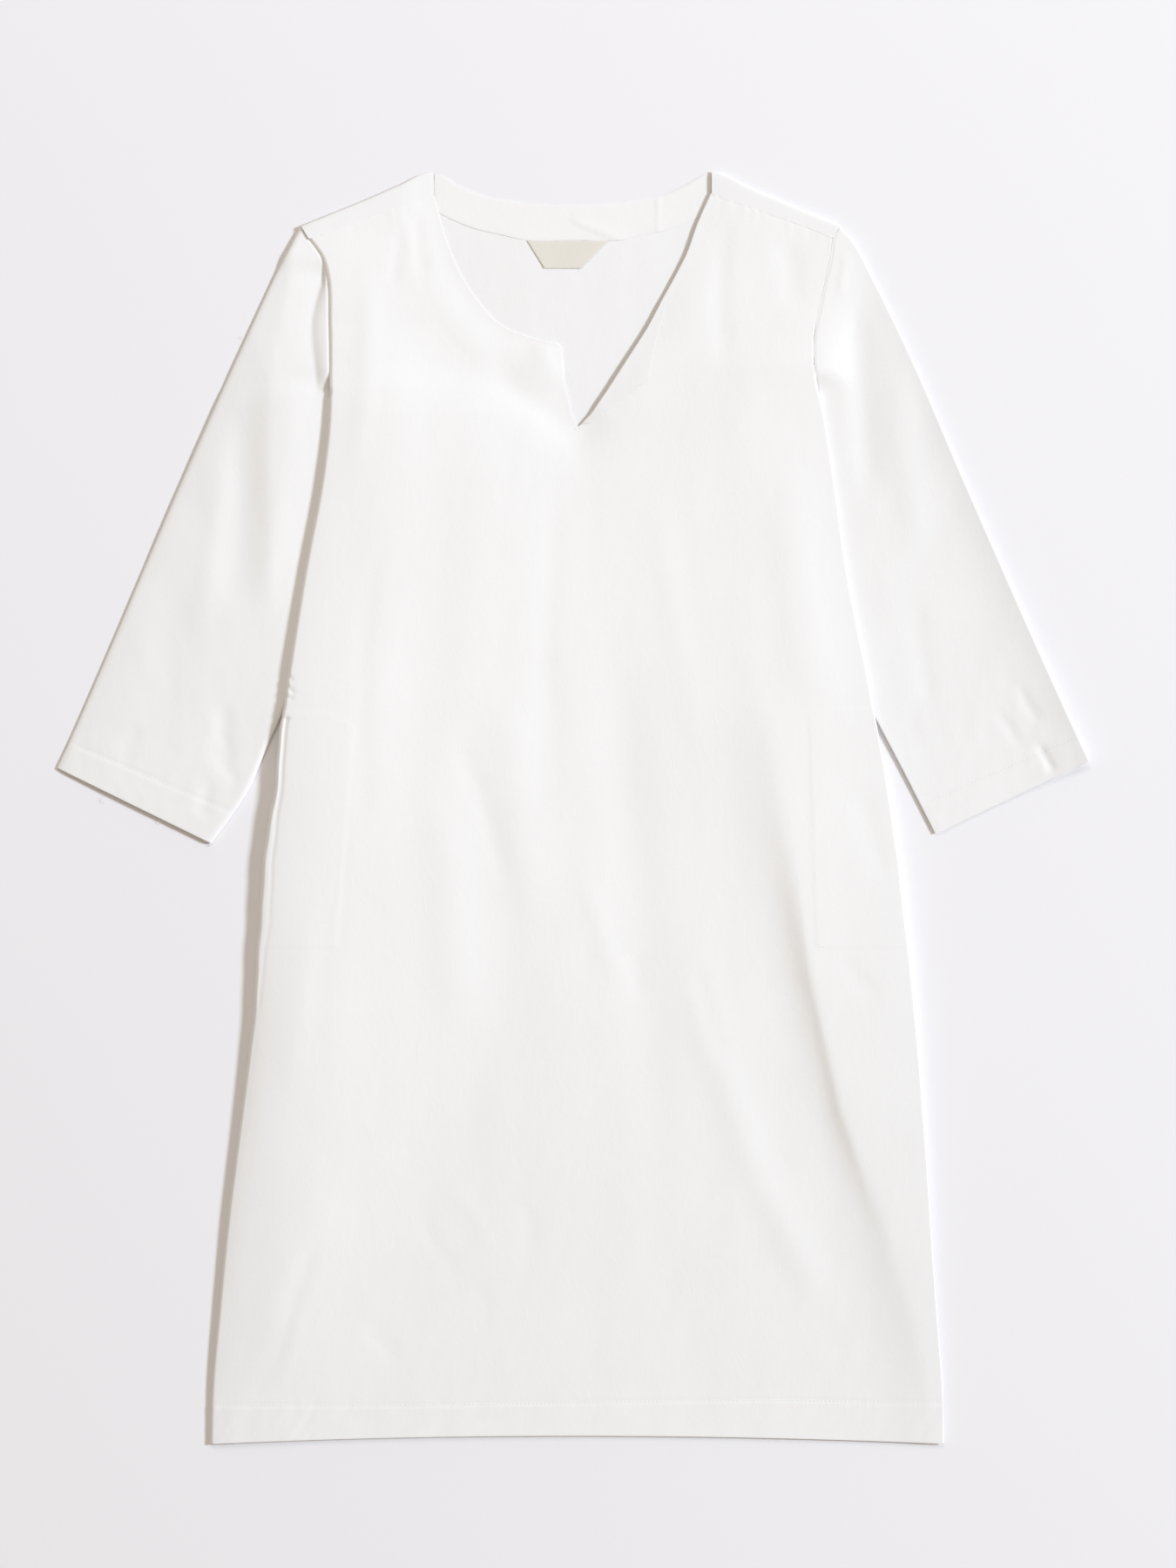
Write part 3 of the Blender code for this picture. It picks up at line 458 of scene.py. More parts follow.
def spaced(bands):
    """Values from bands of (from, to, step), each with its own even spacing."""
    parts = [np.linspace(a, b, max(2, round((b - a) / step) + 1)) for a, b, step in bands]
    return np.concatenate(parts)


def place(across, down, z):
    """Metres in the object's frame."""
    y = NECK_POINT_Y - np.asarray(down, float)
    return np.stack(np.broadcast_arrays(across, y, z), -1) * MM


def soft_noise(across, down, reach_across, reach_down, seed):
    """Smooth irregular values from about -1 to 1, longer down the cloth than across it."""
    across, down = np.broadcast_arrays(across, down)
    pairs = zip(across.ravel() / reach_across, down.ravel() / reach_down)
    values = [noise.noise(Vector((a, d, seed))) for a, d in pairs]
    return np.array(values).reshape(across.shape)


def side_rows(sign):
    return LEFT_SIDE if sign < 0 else RIGHT_SIDE


def edge_roll(sign):
    return LEFT_ROLL if sign < 0 else RIGHT_ROLL


def side_value(sign, name, down):
    return line(side_rows(sign), "down", name, down)


def visible_edge(sign, down):
    """Distance of the body's visible side edge from the middle line, a little uneven at the pocket."""
    down = np.asarray(down, float)
    near_pocket = smooth((down - 350) / 40) * smooth((640 - down) / 60)
    uneven = np.sin(down / 5.2) * 0.25 + np.sin(down / 13.0 + 1.0) * 0.45
    share = 0.9 if sign < 0 else 0.3
    return curve(side_rows(sign), "down", "edge", down) + uneven * near_pocket * share


def run_lengths(points):
    """How far along a route of plan points each of them is."""
    return np.concatenate([[0.0], np.cumsum(np.linalg.norm(np.diff(points, axis=0), axis=1))])


def beside(route, across, down):
    """For points beside a route: distance to it, + on its right going down, and how far along it."""
    route = np.array(route, float)
    spans = np.linalg.norm(np.diff(route, axis=0), axis=1)
    passed = run_lengths(route)
    near = np.full(np.broadcast(across, down).shape, np.inf)
    along = np.zeros(near.shape)
    side = np.ones(near.shape)
    for k, span in enumerate(spans):
        way = (route[k + 1] - route[k]) / span
        out_across = across - route[k, 0]
        out_down = down - route[k, 1]
        t = np.clip(out_across * way[0] + out_down * way[1], 0, span)
        far = np.hypot(out_across - way[0] * t, out_down - way[1] * t)
        closer = far < near
        along = np.where(closer, passed[k] + t, along)
        side = np.where(closer, np.sign(out_across * way[1] - out_down * way[0]), side)
        near = np.minimum(far, near)
    return near * side, along, passed[-1]


def fold_relief(folds, across, down):
    """Height that the folds add: each is a soft bump beside its route, fading out at both ends."""
    total = np.zeros(np.broadcast(across, down).shape)
    for fold in folds:
        near, along, length = beside(fold.route, across, down)
        fade = FOLD_FADE * length
        ends = smooth(along / fade) * smooth((length - along) / fade)
        total += fold.height * ends * np.exp(-((near / fold.width) ** 2))
    return total


def side_rise(sign, across, down):
    """1 where the front lies over what is turned under, coming down to 0 towards the middle."""
    inside = visible_edge(sign, down) - edge_roll(sign) - sign * across
    past = inside - side_value(sign, "bed", down)
    reach = side_value(sign, "reach", down)
    crest = np.clip(CREST_SHARE * reach, *CREST_RANGE)
    past = (past + np.sqrt(past * past + crest * crest)) / 2.0
    if sign > 0:
        return np.exp(-past / reach)
    t = np.clip(past / reach, 0.0, 1.0)
    return 1.0 - (t + smooth(t)) / 2.0


def body_top(across, down):
    """Top of the front panel: low in the middle, higher over the tucked sides, with its folds."""
    across = np.asarray(across, float)
    down = np.asarray(down, float)
    middle = np.broadcast_to(curve(MIDDLE, "down", "loft", down), np.broadcast(across, down).shape)
    level = middle.copy()
    for sign in (-1, 1):
        rise = side_rise(sign, across, down)
        level = level + (side_value(sign, "height", down) - middle) * rise
        inside = np.maximum(visible_edge(sign, down) - sign * across, 0.0)
        soft = LEFT_SOFT if sign < 0 else RIGHT_SOFT
        level = level - side_value(sign, "soft", down) * np.exp(-inside / soft)
        low = HEM_LOW * smooth((down - HEM_LOW_FROM) / (LENGTH - HEM_LOW_FROM)) / 2.0
        level = level - low * smooth(inside / HEM_LOW_INSIDE)
    neck_low = np.zeros(level.shape)
    for rows, low in ((NECK_LEFT, LEFT_NECK_LOW), (NECK_RIGHT, RIGHT_NECK_LOW)):
        near = beside([(row.across, row.down) for row in rows], across, down)[0]
        neck_low = np.maximum(neck_low, low * np.exp(-((near / NECK_SOFT) ** 2)))
    return level - neck_low + fold_relief(BODY_FOLDS, across, down)


def hem_relief(across, down):
    """The turned hem is thicker, pulled in along its stitches and crumpled more on the left."""
    below = down - line(HEM_STITCHES, "across", "down", across)
    band = smooth(below / 1.6)
    drawn_in = np.exp(-((below / 1.2) ** 2))
    left = 0.5 + 0.8 * smooth((60.0 - across) / 200.0)
    slanted = across + 0.7 * down
    crumpled = soft_noise(slanted, down - 0.5 * across, 8.0, 22.0, 5.0) * left
    puckers = soft_noise(across, down, 3.2, 30.0, 6.0) * np.exp(-((below / 6.0) ** 2))
    relief = HEM_BAND * band - HEM_PULL * drawn_in + HEM_CRUMPLE * crumpled * band
    return relief + HEM_PUCKER * puckers


def bag_cover(bag, across, down):
    """1 over a pocket bag, 0 away from it, and a ridge along its overcast edge."""
    inner = np.interp(down, (bag.top, bag.bottom), (bag.inner_top, bag.inner_bottom))
    inward = bag.sign * (across - inner)
    below_top = down - bag.top - np.clip(20.0 - inward, 0, 20) * (0.5 if bag.sign < 0 else 0.2)
    above_bottom = bag.bottom - down
    depth = np.minimum(np.minimum(inward, below_top), above_bottom)
    return smooth(depth / 1.8), np.exp(-(((depth - 1.6) / 1.6) ** 2))


def mouth_relief(across, down):
    """The pocket mouth is a shallow groove on the left side edge, with a bar tack's creases above."""
    inside = visible_edge(-1, down) + across
    inset = line(MOUTH, "down", "inset", down)
    depth = line(MOUTH, "down", "depth", down)
    groove = -MOUTH_DEPTH * depth * np.exp(-(((inside - inset) / 1.1) ** 2))
    top = -TACK_DEPTH * np.exp(-(((down - 396.5) / 1.4) ** 2)) * smooth((7.0 - inside) / 3.0)
    creases = np.zeros(inside.shape)
    for route in TACK_CREASES:
        near = beside(route, across, down)[0]
        creases -= CREASE_DEPTH * np.exp(-((near / 1.3) ** 2))
    return groove + top + creases


def front_detail(across, down):
    """Fine relief of the front: soft drape lines, crumples, seam puckers, the hem and the pockets."""
    drape = FRONT_DRAPE * soft_noise(across, down, 26.0, 150.0, 1.0)
    low = smooth((down - 640.0) / 200.0)
    crumple = (0.04 + 0.06 * low) * soft_noise(across + 0.3 * down, down, 11.0, 30.0, 2.0)
    total = drape + crumple + hem_relief(across, down)
    for bag in BAGS:
        cover, ridge = bag_cover(bag, across, down)
        total = total + BAG_PRINT * cover + BAG_RIDGE * ridge
    total = total + mouth_relief(across, down)
    seam = down - line(SHOULDER_SEAM, "across", "down", np.abs(across))
    near_seam = np.exp(-((seam / 9.0) ** 2)) * (np.abs(across) > NECK_HALF - 8)
    total = total + SEAM_PUCKER * soft_noise(across, down, 3.6, 40.0, 3.0) * near_seam
    for sign in (-1, 1):
        inside = visible_edge(sign, down) - sign * across
        near_armhole = np.exp(-((inside / 9.0) ** 2)) * smooth((UNDERARM - down) / 20.0)
        total = total + SEAM_PUCKER * soft_noise(across, down, 60.0, 4.5, 4.0) * near_armhole
    return total


def front_surface(across, down):
    return body_top(across, down) + front_detail(across, down)


def edge_strip(sign, downs, inset, flatten):
    """The cloth round the body's side edge for each row: distances from the middle line and z, from
    the top of the rounded edge to the seam. Inset moves it inside another layer, and flatten lays
    it on the back."""
    downs = np.asarray(downs, float)
    edge = visible_edge(sign, downs)
    roll = np.maximum(edge_roll(sign) - inset * (1.0 - flatten), LEAST_ROLL)
    crown = body_top(sign * (edge - edge_roll(sign)), downs)
    lift = side_value(sign, "lift", downs)
    half = (crown - lift) / 2.0 - inset
    turn = np.radians(side_value(sign, "turn", downs))
    turned = smooth(2.0 * turn / np.pi - 1.0) if sign > 0 else 0.0 * turn
    round_top = half + (np.minimum(half, RIGHT_ROUND) - half) * turned
    angles = turn[:, None] * np.arange(TURN_STEPS + 1) / TURN_STEPS
    upper = angles <= np.pi / 2.0 + 1e-6
    bow = turned[:, None] * np.where(upper, 0.0, 1.0)
    sloping = np.clip(2.0 * angles / np.pi - 1.0, 0.0, 1.0)
    drawn_in = (1.0 - np.sin(angles)) * (1.0 - bow) + sloping * bow
    inwards = np.where(upper, roll[:, None], (roll + RIGHT_UNDER * turned)[:, None])
    distance = roll[:, None] - inwards * drawn_in
    below = 2.0 * half - round_top
    widest = crown - inset - round_top
    fall = np.cos(angles) * (1.0 - bow) - sloping * bow
    z = widest[:, None] + np.where(upper, round_top[:, None] * np.cos(angles), below[:, None] * fall)
    way_out = roll * np.cos(turn)
    way_up = -half * np.sin(turn)
    length = np.hypot(way_out, way_up)
    tuck = side_value(sign, "tuck", downs)[:, None] * np.arange(1, TUCK_STEPS + 1) / TUCK_STEPS
    distance = np.concatenate([distance, distance[:, -1:] + (way_out / length)[:, None] * tuck], 1)
    z = np.concatenate([z, z[:, -1:] + (way_up / length)[:, None] * tuck], 1)
    distance += (edge - inset * (1.0 - flatten))[:, None] - distance.max(1, keepdims=True)
    z += (CLOTH - z) * flatten[:, None]
    return distance, z


def row_down(sign, across, down):
    """The lowest rows follow the hem, which rises in the middle."""
    ramp = smooth((down - HEM_CURVE_FROM) / (LENGTH - HEM_CURVE_FROM))
    reach = visible_edge(sign, down)
    rise = HEM_RISE * ramp * (1.0 - np.clip(np.abs(across) / reach, 0, 1) ** 2)
    return down - np.where(down > SLIT_DOWN, rise, 0.0)


def neck_at(rows, rise):
    """Neck edge at a rise, smooth above the corner and straight in the slit."""
    above = [row for row in rows if row.rise >= SLIT_CORNER]
    point = []
    for name in ("across", "down"):
        smooth_part = curve(above, "rise", name, rise)
        point.append(np.where(rise > SLIT_CORNER, smooth_part, line(rows, "rise", name, rise)))
    return point


def run_shares(length, downs):
    """Shares of the way from the side edge to the middle, close together where the pocket shows."""
    near = spaced(FRONT_SIDE_STEPS)
    near_count = len(near)
    total = near_count + FRONT_MIDDLE_RUN
    even = np.linspace(0.0, 1.0, total + 1)[1:]
    t = np.linspace(0.0, 1.0, FRONT_MIDDLE_RUN + 1)[1:]
    from_edge = np.broadcast_to(near[1:], (len(length), near_count - 1))
    middle = near[-1] + (length[:, None] - near[-1]) * t
    spare = near[-1] + (length[:, None] - near[-1]) * t[:1] * 0.5
    placed = np.concatenate([from_edge, spare, middle], 1) / length[:, None]
    settled = smooth((downs - 210.0) / 110.0)[:, None]
    return even + (np.sort(placed, 1) - even) * settled


def front_half(sign, downs):
    """Half of every row of the front, from the seam under the side to the middle or the neck edge."""
    none = np.zeros(len(downs))
    distance, z = edge_strip(sign, downs, none, none)
    start = sign * distance[:, 0]
    rise = np.clip((SLIT_DOWN - downs) / (SLIT_DOWN - TOP_ROW), 0.0, 1.0)
    neck_across, neck_down = neck_at(NECK_LEFT if sign < 0 else NECK_RIGHT, rise)
    middle = NECK_LEFT[0].across * np.clip(1.0 - (downs - SLIT_DOWN) / SLIT_LINE_FADES, 0, 1)
    open_row = downs <= SLIT_DOWN
    end = np.where(open_row, neck_across, middle)
    end_down = np.where(open_row, neck_down, downs)
    shares = run_shares(np.abs(end - start), downs)
    across = start[:, None] + (end - start)[:, None] * shares
    down = downs[:, None] + (end_down - downs)[:, None] * shares
    down = row_down(sign, across, down)
    run = place(across, down, front_surface(across, down))
    side_across = sign * distance
    side_down = row_down(sign, side_across, np.repeat(downs[:, None], distance.shape[1], 1))
    facing_up = np.clip(np.cos(np.pi * np.arange(distance.shape[1]) / TURN_STEPS), 0, 1)
    side_z = z + front_detail(side_across, side_down) * facing_up
    side = place(side_across, side_down, side_z)[:, ::-1]
    return np.concatenate([side, run], 1)


def front_rows():
    downs = spaced(FRONT_ROWS)
    return np.concatenate([front_half(-1, downs), front_half(1, downs)[:, ::-1]], 1)


def top_edge(across):
    return curve(TOP_EDGE, "across", "down", np.abs(across))


def back_row_at(sign, across, down):
    """Rows above the chest fan out to the neck edge and the shoulders."""
    short = BACK_HEM_SHORT * smooth((down - BACK_HEM_FROM) / (LENGTH - BACK_HEM_FROM))
    low = row_down(sign, across, down) - short
    share = np.clip((ARMHOLE_FREE - down) / (ARMHOLE_FREE - SHOULDER_TIP), 0.0, 1.0)
    high = np.where(share > 0, ARMHOLE_FREE + (top_edge(across) - ARMHOLE_FREE) * share, down)
    return np.where(down > SLIT_DOWN, low, high)


def back_detail(across, down):
    """The inside of the back, seen through the neck opening, has a few faint lines."""
    drape = BACK_DRAPE * soft_noise(across, down, 22.0, 70.0, 7.0)
    fine = BACK_CRUMPLE * soft_noise(across, down, 7.0, 12.0, 8.0)
    seen = smooth((150.0 - np.abs(across)) / 60.0)
    return (drape + fine + BACK_CLEAR) * seen * smooth((230.0 - down) / 40.0)


def back_half(sign, downs):
    """Half of every row of the back, from the seam under the side to the middle line."""
    nested = smooth((downs - BACK_ON_FLOOR) / (BACK_IN_ROLL - BACK_ON_FLOOR))
    inset = CLOTH + side_value(sign, "ease", downs)
    distance, z = edge_strip(sign, downs, inset, 1.0 - nested)
    edge = visible_edge(sign, downs)
    spread = np.linspace(0, 1, distance.shape[1])
    flat = distance[:, :1] + (edge[:, None] - distance[:, :1]) * spread
    distance += (flat - distance) * (1.0 - nested)[:, None]
    start = distance[:, 0]
    tuck = side_value(sign, "tuck", downs) + TUCK_CLEAR + STEP_DOWN_TO_FLOOR
    settled = smooth((downs - BACK_IN_ROLL) / (CHEST_FULL - BACK_IN_ROLL))
    knee = NECK_HALF + (start - tuck - NECK_HALF) * settled
    side_t = np.linspace(0, 1, BACK_SIDE_RUN + 1)[1:]
    middle_t = np.linspace(0, 1, BACK_MIDDLE_RUN + 1)[1:]
    run = np.concatenate([start[:, None] + (knee - start)[:, None] * side_t,
                          knee[:, None] * (1.0 - middle_t)], 1)
    across = sign * run
    rows_down = np.repeat(downs[:, None], run.shape[1], 1)
    down = back_row_at(sign, across, rows_down)
    under = body_top(across, down) - inset[:, None]
    end_of_tuck = side_value(sign, "tuck", down) + TUCK_CLEAR
    rise = 1.0 - smooth((start[:, None] - run - end_of_tuck) / STEP_DOWN_TO_FLOOR)
    top = CLOTH + (under - CLOTH) * rise * nested[:, None]
    middle = place(across, down, top + back_detail(across, down))
    side_across = sign * distance
    side_rows_down = np.repeat(downs[:, None], distance.shape[1], 1)
    side_down = back_row_at(sign, side_across, side_rows_down)
    side = place(side_across, side_down, z)[:, ::-1]
    return np.concatenate([side, middle], 1)


def shoulder_row(across, down, z):
    """A row along the shoulder, narrowed to end on the armhole edge."""
    sign = np.sign(across)
    most = np.where(sign < 0, -across.min(), across.max())
    share = (np.abs(across) - NECK_HALF) / (most - NECK_HALF)
    reach = np.where(sign < 0, visible_edge(-1, down), visible_edge(1, down))
    return place(sign * (NECK_HALF + (reach - NECK_HALF) * share), down, z)


def back_rows():
    """Every row of the back panel. The rows above the shoulder fold have gaps for the neck."""
    downs = np.concatenate([[SHOULDER_TIP], spaced(BACK_ROWS)])
    rows = np.concatenate([back_half(-1, downs), back_half(1, downs)[:, ::-1][:, 1:]], 1)
    across = rows[0][:, 0] / MM
    on_shoulder = np.abs(across) >= NECK_HALF - 0.01
    fold = top_edge(across)
    seam = line(SHOULDER_SEAM, "across", "down", np.abs(across)) + SHOULDER_LAP
    placed = shoulder_row(across, seam, 0.0)[:, 0] / MM
    widest = body_top(placed, seam) - CLOTH - SHOULDER_ROUND
    on_front = front_surface(placed, seam) - CLOTH + WRAP_RISE
    wraps = []
    for turn in np.linspace(0.0, np.pi, SHOULDER_ANGLES + 1):
        under = turn < np.pi / 2.0
        inwards = SHOULDER_UNDER if under else SHOULDER_ROLL - CLOTH
        sloping = 1.0 - 2.0 * turn / math.pi
        down = fold + CLOTH + inwards * (sloping if under else 1.0 - math.sin(turn))
        z = widest - ((widest - CLOTH) * sloping if under else SHOULDER_ROUND * math.cos(turn))
        wraps.append(shoulder_row(across, down, z))
    last = wraps[-1]
    for t in np.linspace(0.0, 1.0, SHOULDER_STEPS + 1)[1:]:
        down = fold + SHOULDER_ROLL + (seam - fold - SHOULDER_ROLL) * t
        z = last[:, 2] / MM + (on_front - last[:, 2] / MM) * smooth(t)
        wraps.append(shoulder_row(across, down, z))
    wraps = np.array(wraps)
    wraps[:, ~on_shoulder] = np.nan
    rows[0][on_shoulder] = wraps[0][on_shoulder]
    return np.concatenate([wraps[:0:-1], rows])


def edge_strip_end(sign, down):
    """z of the front's cloth at the armhole seam."""
    downs = np.clip(np.ravel(down), SHOULDER_TIP, ARMHOLE_FREE)
    none = np.zeros(len(downs))
    seam_z = edge_strip(sign, downs, none, none)[1][:, -1]
    return np.minimum(seam_z, SLEEVE_HELD).reshape(np.shape(down))


def ledge_relief(ledges, across, down):
    total = np.zeros(np.broadcast(across, down).shape)
    for ledge in ledges:
        near, along, length = beside(ledge.route, across, down)
        ends = smooth(along / (FOLD_FADE * length)) * smooth((length - along) / (FOLD_FADE * length))
        reach = np.where(near < 0, ledge.right, ledge.left)
        beyond = np.sqrt(near * near + LEDGE_ROUND ** 2) - LEDGE_ROUND
        total += ledge.height * ends * np.exp(-beyond / reach)
    return total


def sleeve_top(sign, across, down, folds, loft):
    """Top of a sleeve: level with the front at the armhole, pressed flat under the body."""
    edge = visible_edge(sign, down)
    seam_z = edge_strip_end(sign, down)
    pressed = LEFT_PRESSED if sign < 0 else RIGHT_PRESSED
    held = seam_z + (pressed - seam_z) * smooth((down - PRESSED_FROM) / PRESSED_WITHIN)
    out = smooth((sign * across - edge - 1.0) / SLEEVE_SWELL)
    relief = fold_relief(folds, across, down) + sleeve_crumple(sign, across, down)
    if sign < 0:
        relief = relief + ledge_relief(LEFT_SLEEVE_LEDGES, across, down)
    top = held + (loft - held) * out + relief * out
    if sign < 0:
        top = top + tuck_relief(across, down)
    above_underarm = smooth((UNDERARM - down) / ARMHOLE_FADE)
    if sign > 0:
        top = top + ARMHOLE_STEP * above_underarm * (1.0 - out)
    groove = np.exp(-(((sign * across - edge - GROOVE_IN) / GROOVE_WIDTH) ** 2)) * above_underarm
    return top - ARMHOLE_GROOVE * groove


def sleeve_crumple(sign, across, down):
    drape = SLEEVE_DRAPE * soft_noise(across + 0.4 * sign * down, down, 20.0, 120.0, 9.0 + sign)
    low = 0.04 + 0.12 * smooth((down - 340.0) / 80.0)
    return drape + low * soft_noise(across, down, 9.0, 17.0, 12.0 + sign)


def tuck_relief(across, down):
    """Beside the armhole the sleeve rounds down to the tuck's line, and lies lower beyond it."""
    near, along, length = beside(SLEEVE_TUCK, across, down)
    ends = smooth(along / 14.0) * smooth((length - along) / 18.0)
    out = np.maximum(-across - visible_edge(-1, down), 0.0)
    strip = (out / np.maximum(out + near, 0.1)) ** 2.0
    beyond = np.exp(np.minimum(near, 0.0) / TUCK_REACH)
    return -TUCK_DROP * ends * np.where(near > 0.0, strip, beyond)


def armhole_line(sign, shares, outer, inner):
    """The armhole seam in plan: down the body's edge, then in under the body to the underarm."""
    points = [(outer[0].across, outer[0].down)]
    points += [(sign * (float(visible_edge(sign, d)) + ARMHOLE_GAP), d) for d in ARMHOLE_ROWS]
    points += [(sign * (float(visible_edge(sign, d)) - under), d) for d, under in UNDERARM_CURVE]
    points.append((inner[0].across, inner[0].down))
    points = np.array(points, float)
    spans = run_lengths(points)
    at = shares * spans[-1]
    return np.stack([np.interp(at, spans, points[:, 0]), np.interp(at, spans, points[:, 1])], -1)


def sleeve_plan(sign, outer, inner, alongs, shares):
    """Plan of a sleeve: rings along it, and shares of the way from its outer to its inner edge."""
    ring0 = armhole_line(sign, shares, outer, inner)
    chord0 = ring0[0] + (ring0[-1] - ring0[0]) * shares[:, None]
    start = np.stack([curve(outer, "along", name, alongs) for name in ("across", "down")], -1)
    end = np.stack([curve(inner, "along", name, alongs) for name in ("across", "down")], -1)
    straight = start[:, None] + (end - start)[:, None] * shares[:, None]
    plan = straight + (ring0 - chord0) * ((1.0 - alongs) ** 3)[:, None, None]
    return plan, np.linalg.norm(end - start, axis=1)


def cuff_relief(to_cuff):
    """The cuff's hem is thicker, and pulled in along its stitches."""
    above = CUFF_HEM_DEPTH - to_cuff
    return CUFF_BAND * smooth(above / 1.8) - CUFF_PULL * np.exp(-((above / 1.4) ** 2))


def sleeve_loft(table, alongs, outer_in):
    """Height of a sleeve along it, with its outer edge lower or higher than the rest."""
    rim = line(table, "along", "rim", alongs) * np.exp(-outer_in / line(table, "along", "reach", alongs))
    return line(table, "along", "height", alongs) + rim


def sleeve_rows(sign, outer, inner, folds, loft):
    """Rings of a flat sleeve from armhole to cuff: the top from outer edge to inner, then the back."""
    edge_shares = np.array(SLEEVE_EDGE_SHARES)
    middle = np.linspace(edge_shares[-1], 1.0 - edge_shares[-1], SLEEVE_ACROSS)[1:-1]
    shares = np.concatenate([edge_shares, middle, 1.0 - edge_shares[::-1]])
    alongs = spaced(((0.0, 0.055, 0.0033), (0.063, 0.91, 0.0085), (0.917, 1.0, 0.0042)))
    plan, width = sleeve_plan(sign, outer, inner, alongs, shares)
    across, down = plan[..., 0], plan[..., 1]
    inside = np.minimum(shares, 1.0 - shares) * width[:, None]
    roll = LEFT_SLEEVE_ROLL if sign < 0 else RIGHT_SLEEVE_ROLL
    swell = np.sqrt(1.0 - (1.0 - np.clip(inside / roll, 0, 1)) ** 2)
    round_top = LEFT_SLEEVE_ROUND if sign < 0 else RIGHT_SLEEVE_ROUND
    sunk = swell if sign < 0 else np.clip(inside / RIGHT_SLEEVE_UNDER, 0, 1)
    length = np.hypot(outer[-1].across - outer[0].across, outer[-1].down - outer[0].down)
    to_cuff = ((1.0 - alongs) * length)[:, None]
    lofts = sleeve_loft(loft, alongs[:, None], shares * width[:, None])
    crown = sleeve_top(sign, across, down, folds, lofts) + cuff_relief(to_cuff) * smooth(inside / 6.0)
    widest = crown * (1.0 - round_top)
    top = place(across, down, widest + (crown - widest) * swell)
    ramp = smooth((alongs - CUFF_PEEK_FROM) / (1.0 - CUFF_PEEK_FROM))[:, None]
    peek = np.sin(np.pi * shares) * CUFF_PEEK * ramp
    below = place(across, down + peek, widest * (1.0 - sunk))
    return np.concatenate([top, below[:, -2:0:-1]], 1)


def facing_rows():
    across = np.linspace(-FACING_HALF, FACING_HALF, 121)
    upper = top_edge(across) + FACING_INSET
    lower = curve(FACING_EDGE, "across", "down", np.abs(across))
    rows = []
    for t in np.linspace(0.0, 1.0, 13):
        down = upper + (lower - upper) * t
        wavy = 0.6 + 0.8 * soft_noise(across, down, 18.0, 60.0, 15.0)
        lift = FACING_LIFT * smooth((t - 0.5) / 0.5) * wavy
        rows.append(place(across, down, CLOTH + FACING_GAP + lift + facing_crease(across, down)))
    return np.array(rows)


def facing_crease(across, down):
    """A little pleat slants across the facing, and a seam crosses it on the right."""
    near, along, length = beside(((-5.0, 34.5), (34.0, 51.0)), across, down)
    pleat = FACING_PLEAT * smooth(near / 1.2 + 0.5) * np.exp(-np.clip(near, 0, 30) / 6.0)
    pleat = pleat * smooth(along / 10.0) * smooth((length - along + 6.0) / 8.0)
    seam = FACING_SEAM * np.exp(-(((across - 62.0) / 1.4) ** 2))
    return pleat * (near > -3.0) + seam


def label_rows():
    rows = []
    for t in np.linspace(0.0, 1.0, 11):
        left = LABEL_TOP[0] + (LABEL_BOTTOM[0] - LABEL_TOP[0]) * t
        right = LABEL_TOP[1] + (LABEL_BOTTOM[1] - LABEL_TOP[1]) * t
        across = np.linspace(left, right, 25)
        lift = LABEL_LIFT + LABEL_CURL * t * t + LABEL_WAVE * np.sin(across / 7.0)
        rows.append(place(across, LABEL_DOWN + LABEL_DEPTH * t, CLOTH + LYING_GAP + lift))
    return np.array(rows)


def lapel_rows():
    """The turned-out corner lies on the front, and rounds down to the fold at the slit's edge."""
    rows = []
    for rise in np.linspace(LAPEL_EDGE[-1].rise, 0.02, 45):
        start = [float(line(NECK_RIGHT, "rise", name, rise)) for name in ("across", "down")]
        end = [float(line(LAPEL_EDGE, "rise", name, rise)) for name in ("across", "down")]
        t = np.linspace(0.0, 1.0, 19)
        across = start[0] + SEAM_GAP + (end[0] - start[0]) * t
        down = start[1] + (end[1] - start[1]) * t
        width = math.hypot(end[0] - start[0], end[1] - start[1])
        curl = CORNER_CURL * t * width
        top = front_surface(across, down)
        rows.append(place(across, down, top + TURNED_CORNER_GAP + curl))
    return np.array(rows)


def pocket_rows(sign):
    """A pocket bag lies under the front, made from the front's points moved in."""
    downs = np.linspace(POCKET_RANGE[0], POCKET_RANGE[1], 42)
    reach = np.linspace(edge_roll(sign) + 1.0, POCKET_REACH, 16)
    distance = visible_edge(sign, downs)[:, None] - reach
    across = sign * distance
    down = np.repeat(downs[:, None], len(reach), 1)
    top = front_surface(across, down) - CLOTH - LYING_GAP - BAG_CLEAR
    rows = place(across, down, top)
    return rows if sign < 0 else rows[:, ::-1]


def mesh_from_rows(name, rows, split, closed):
    """Quads between rows of points. Split is a column with no quads after it, nan a missing point."""
    mesh = bpy.data.meshes.new(name)
    count = rows.shape[1]
    index = np.arange(rows.shape[0] * count).reshape(rows.shape[:2])
    here = index if closed else index[:, :-1]
    beyond = np.roll(index, -1, 1) if closed else index[:, 1:]
    quads = np.stack([here[:-1], here[1:], beyond[1:], beyond[:-1]], -1)
    if split is not None:
        quads = np.delete(quads, split, 1)
    quads = quads.reshape(-1, 4)
    points = rows.reshape(-1, 3)
    quads = quads[~np.isnan(points[quads][..., 0]).any(1)]
    used, quads = np.unique(quads, return_inverse=True)
    mesh.from_pydata(points[used].tolist(), [], quads.reshape(-1, 4).tolist())
    shape = bmesh.new()
    shape.from_mesh(mesh)
    bmesh.ops.remove_doubles(shape, verts=shape.verts, dist=1e-6)
    shape.to_mesh(mesh)
    shape.free()
    mesh.shade_smooth()
    return mesh


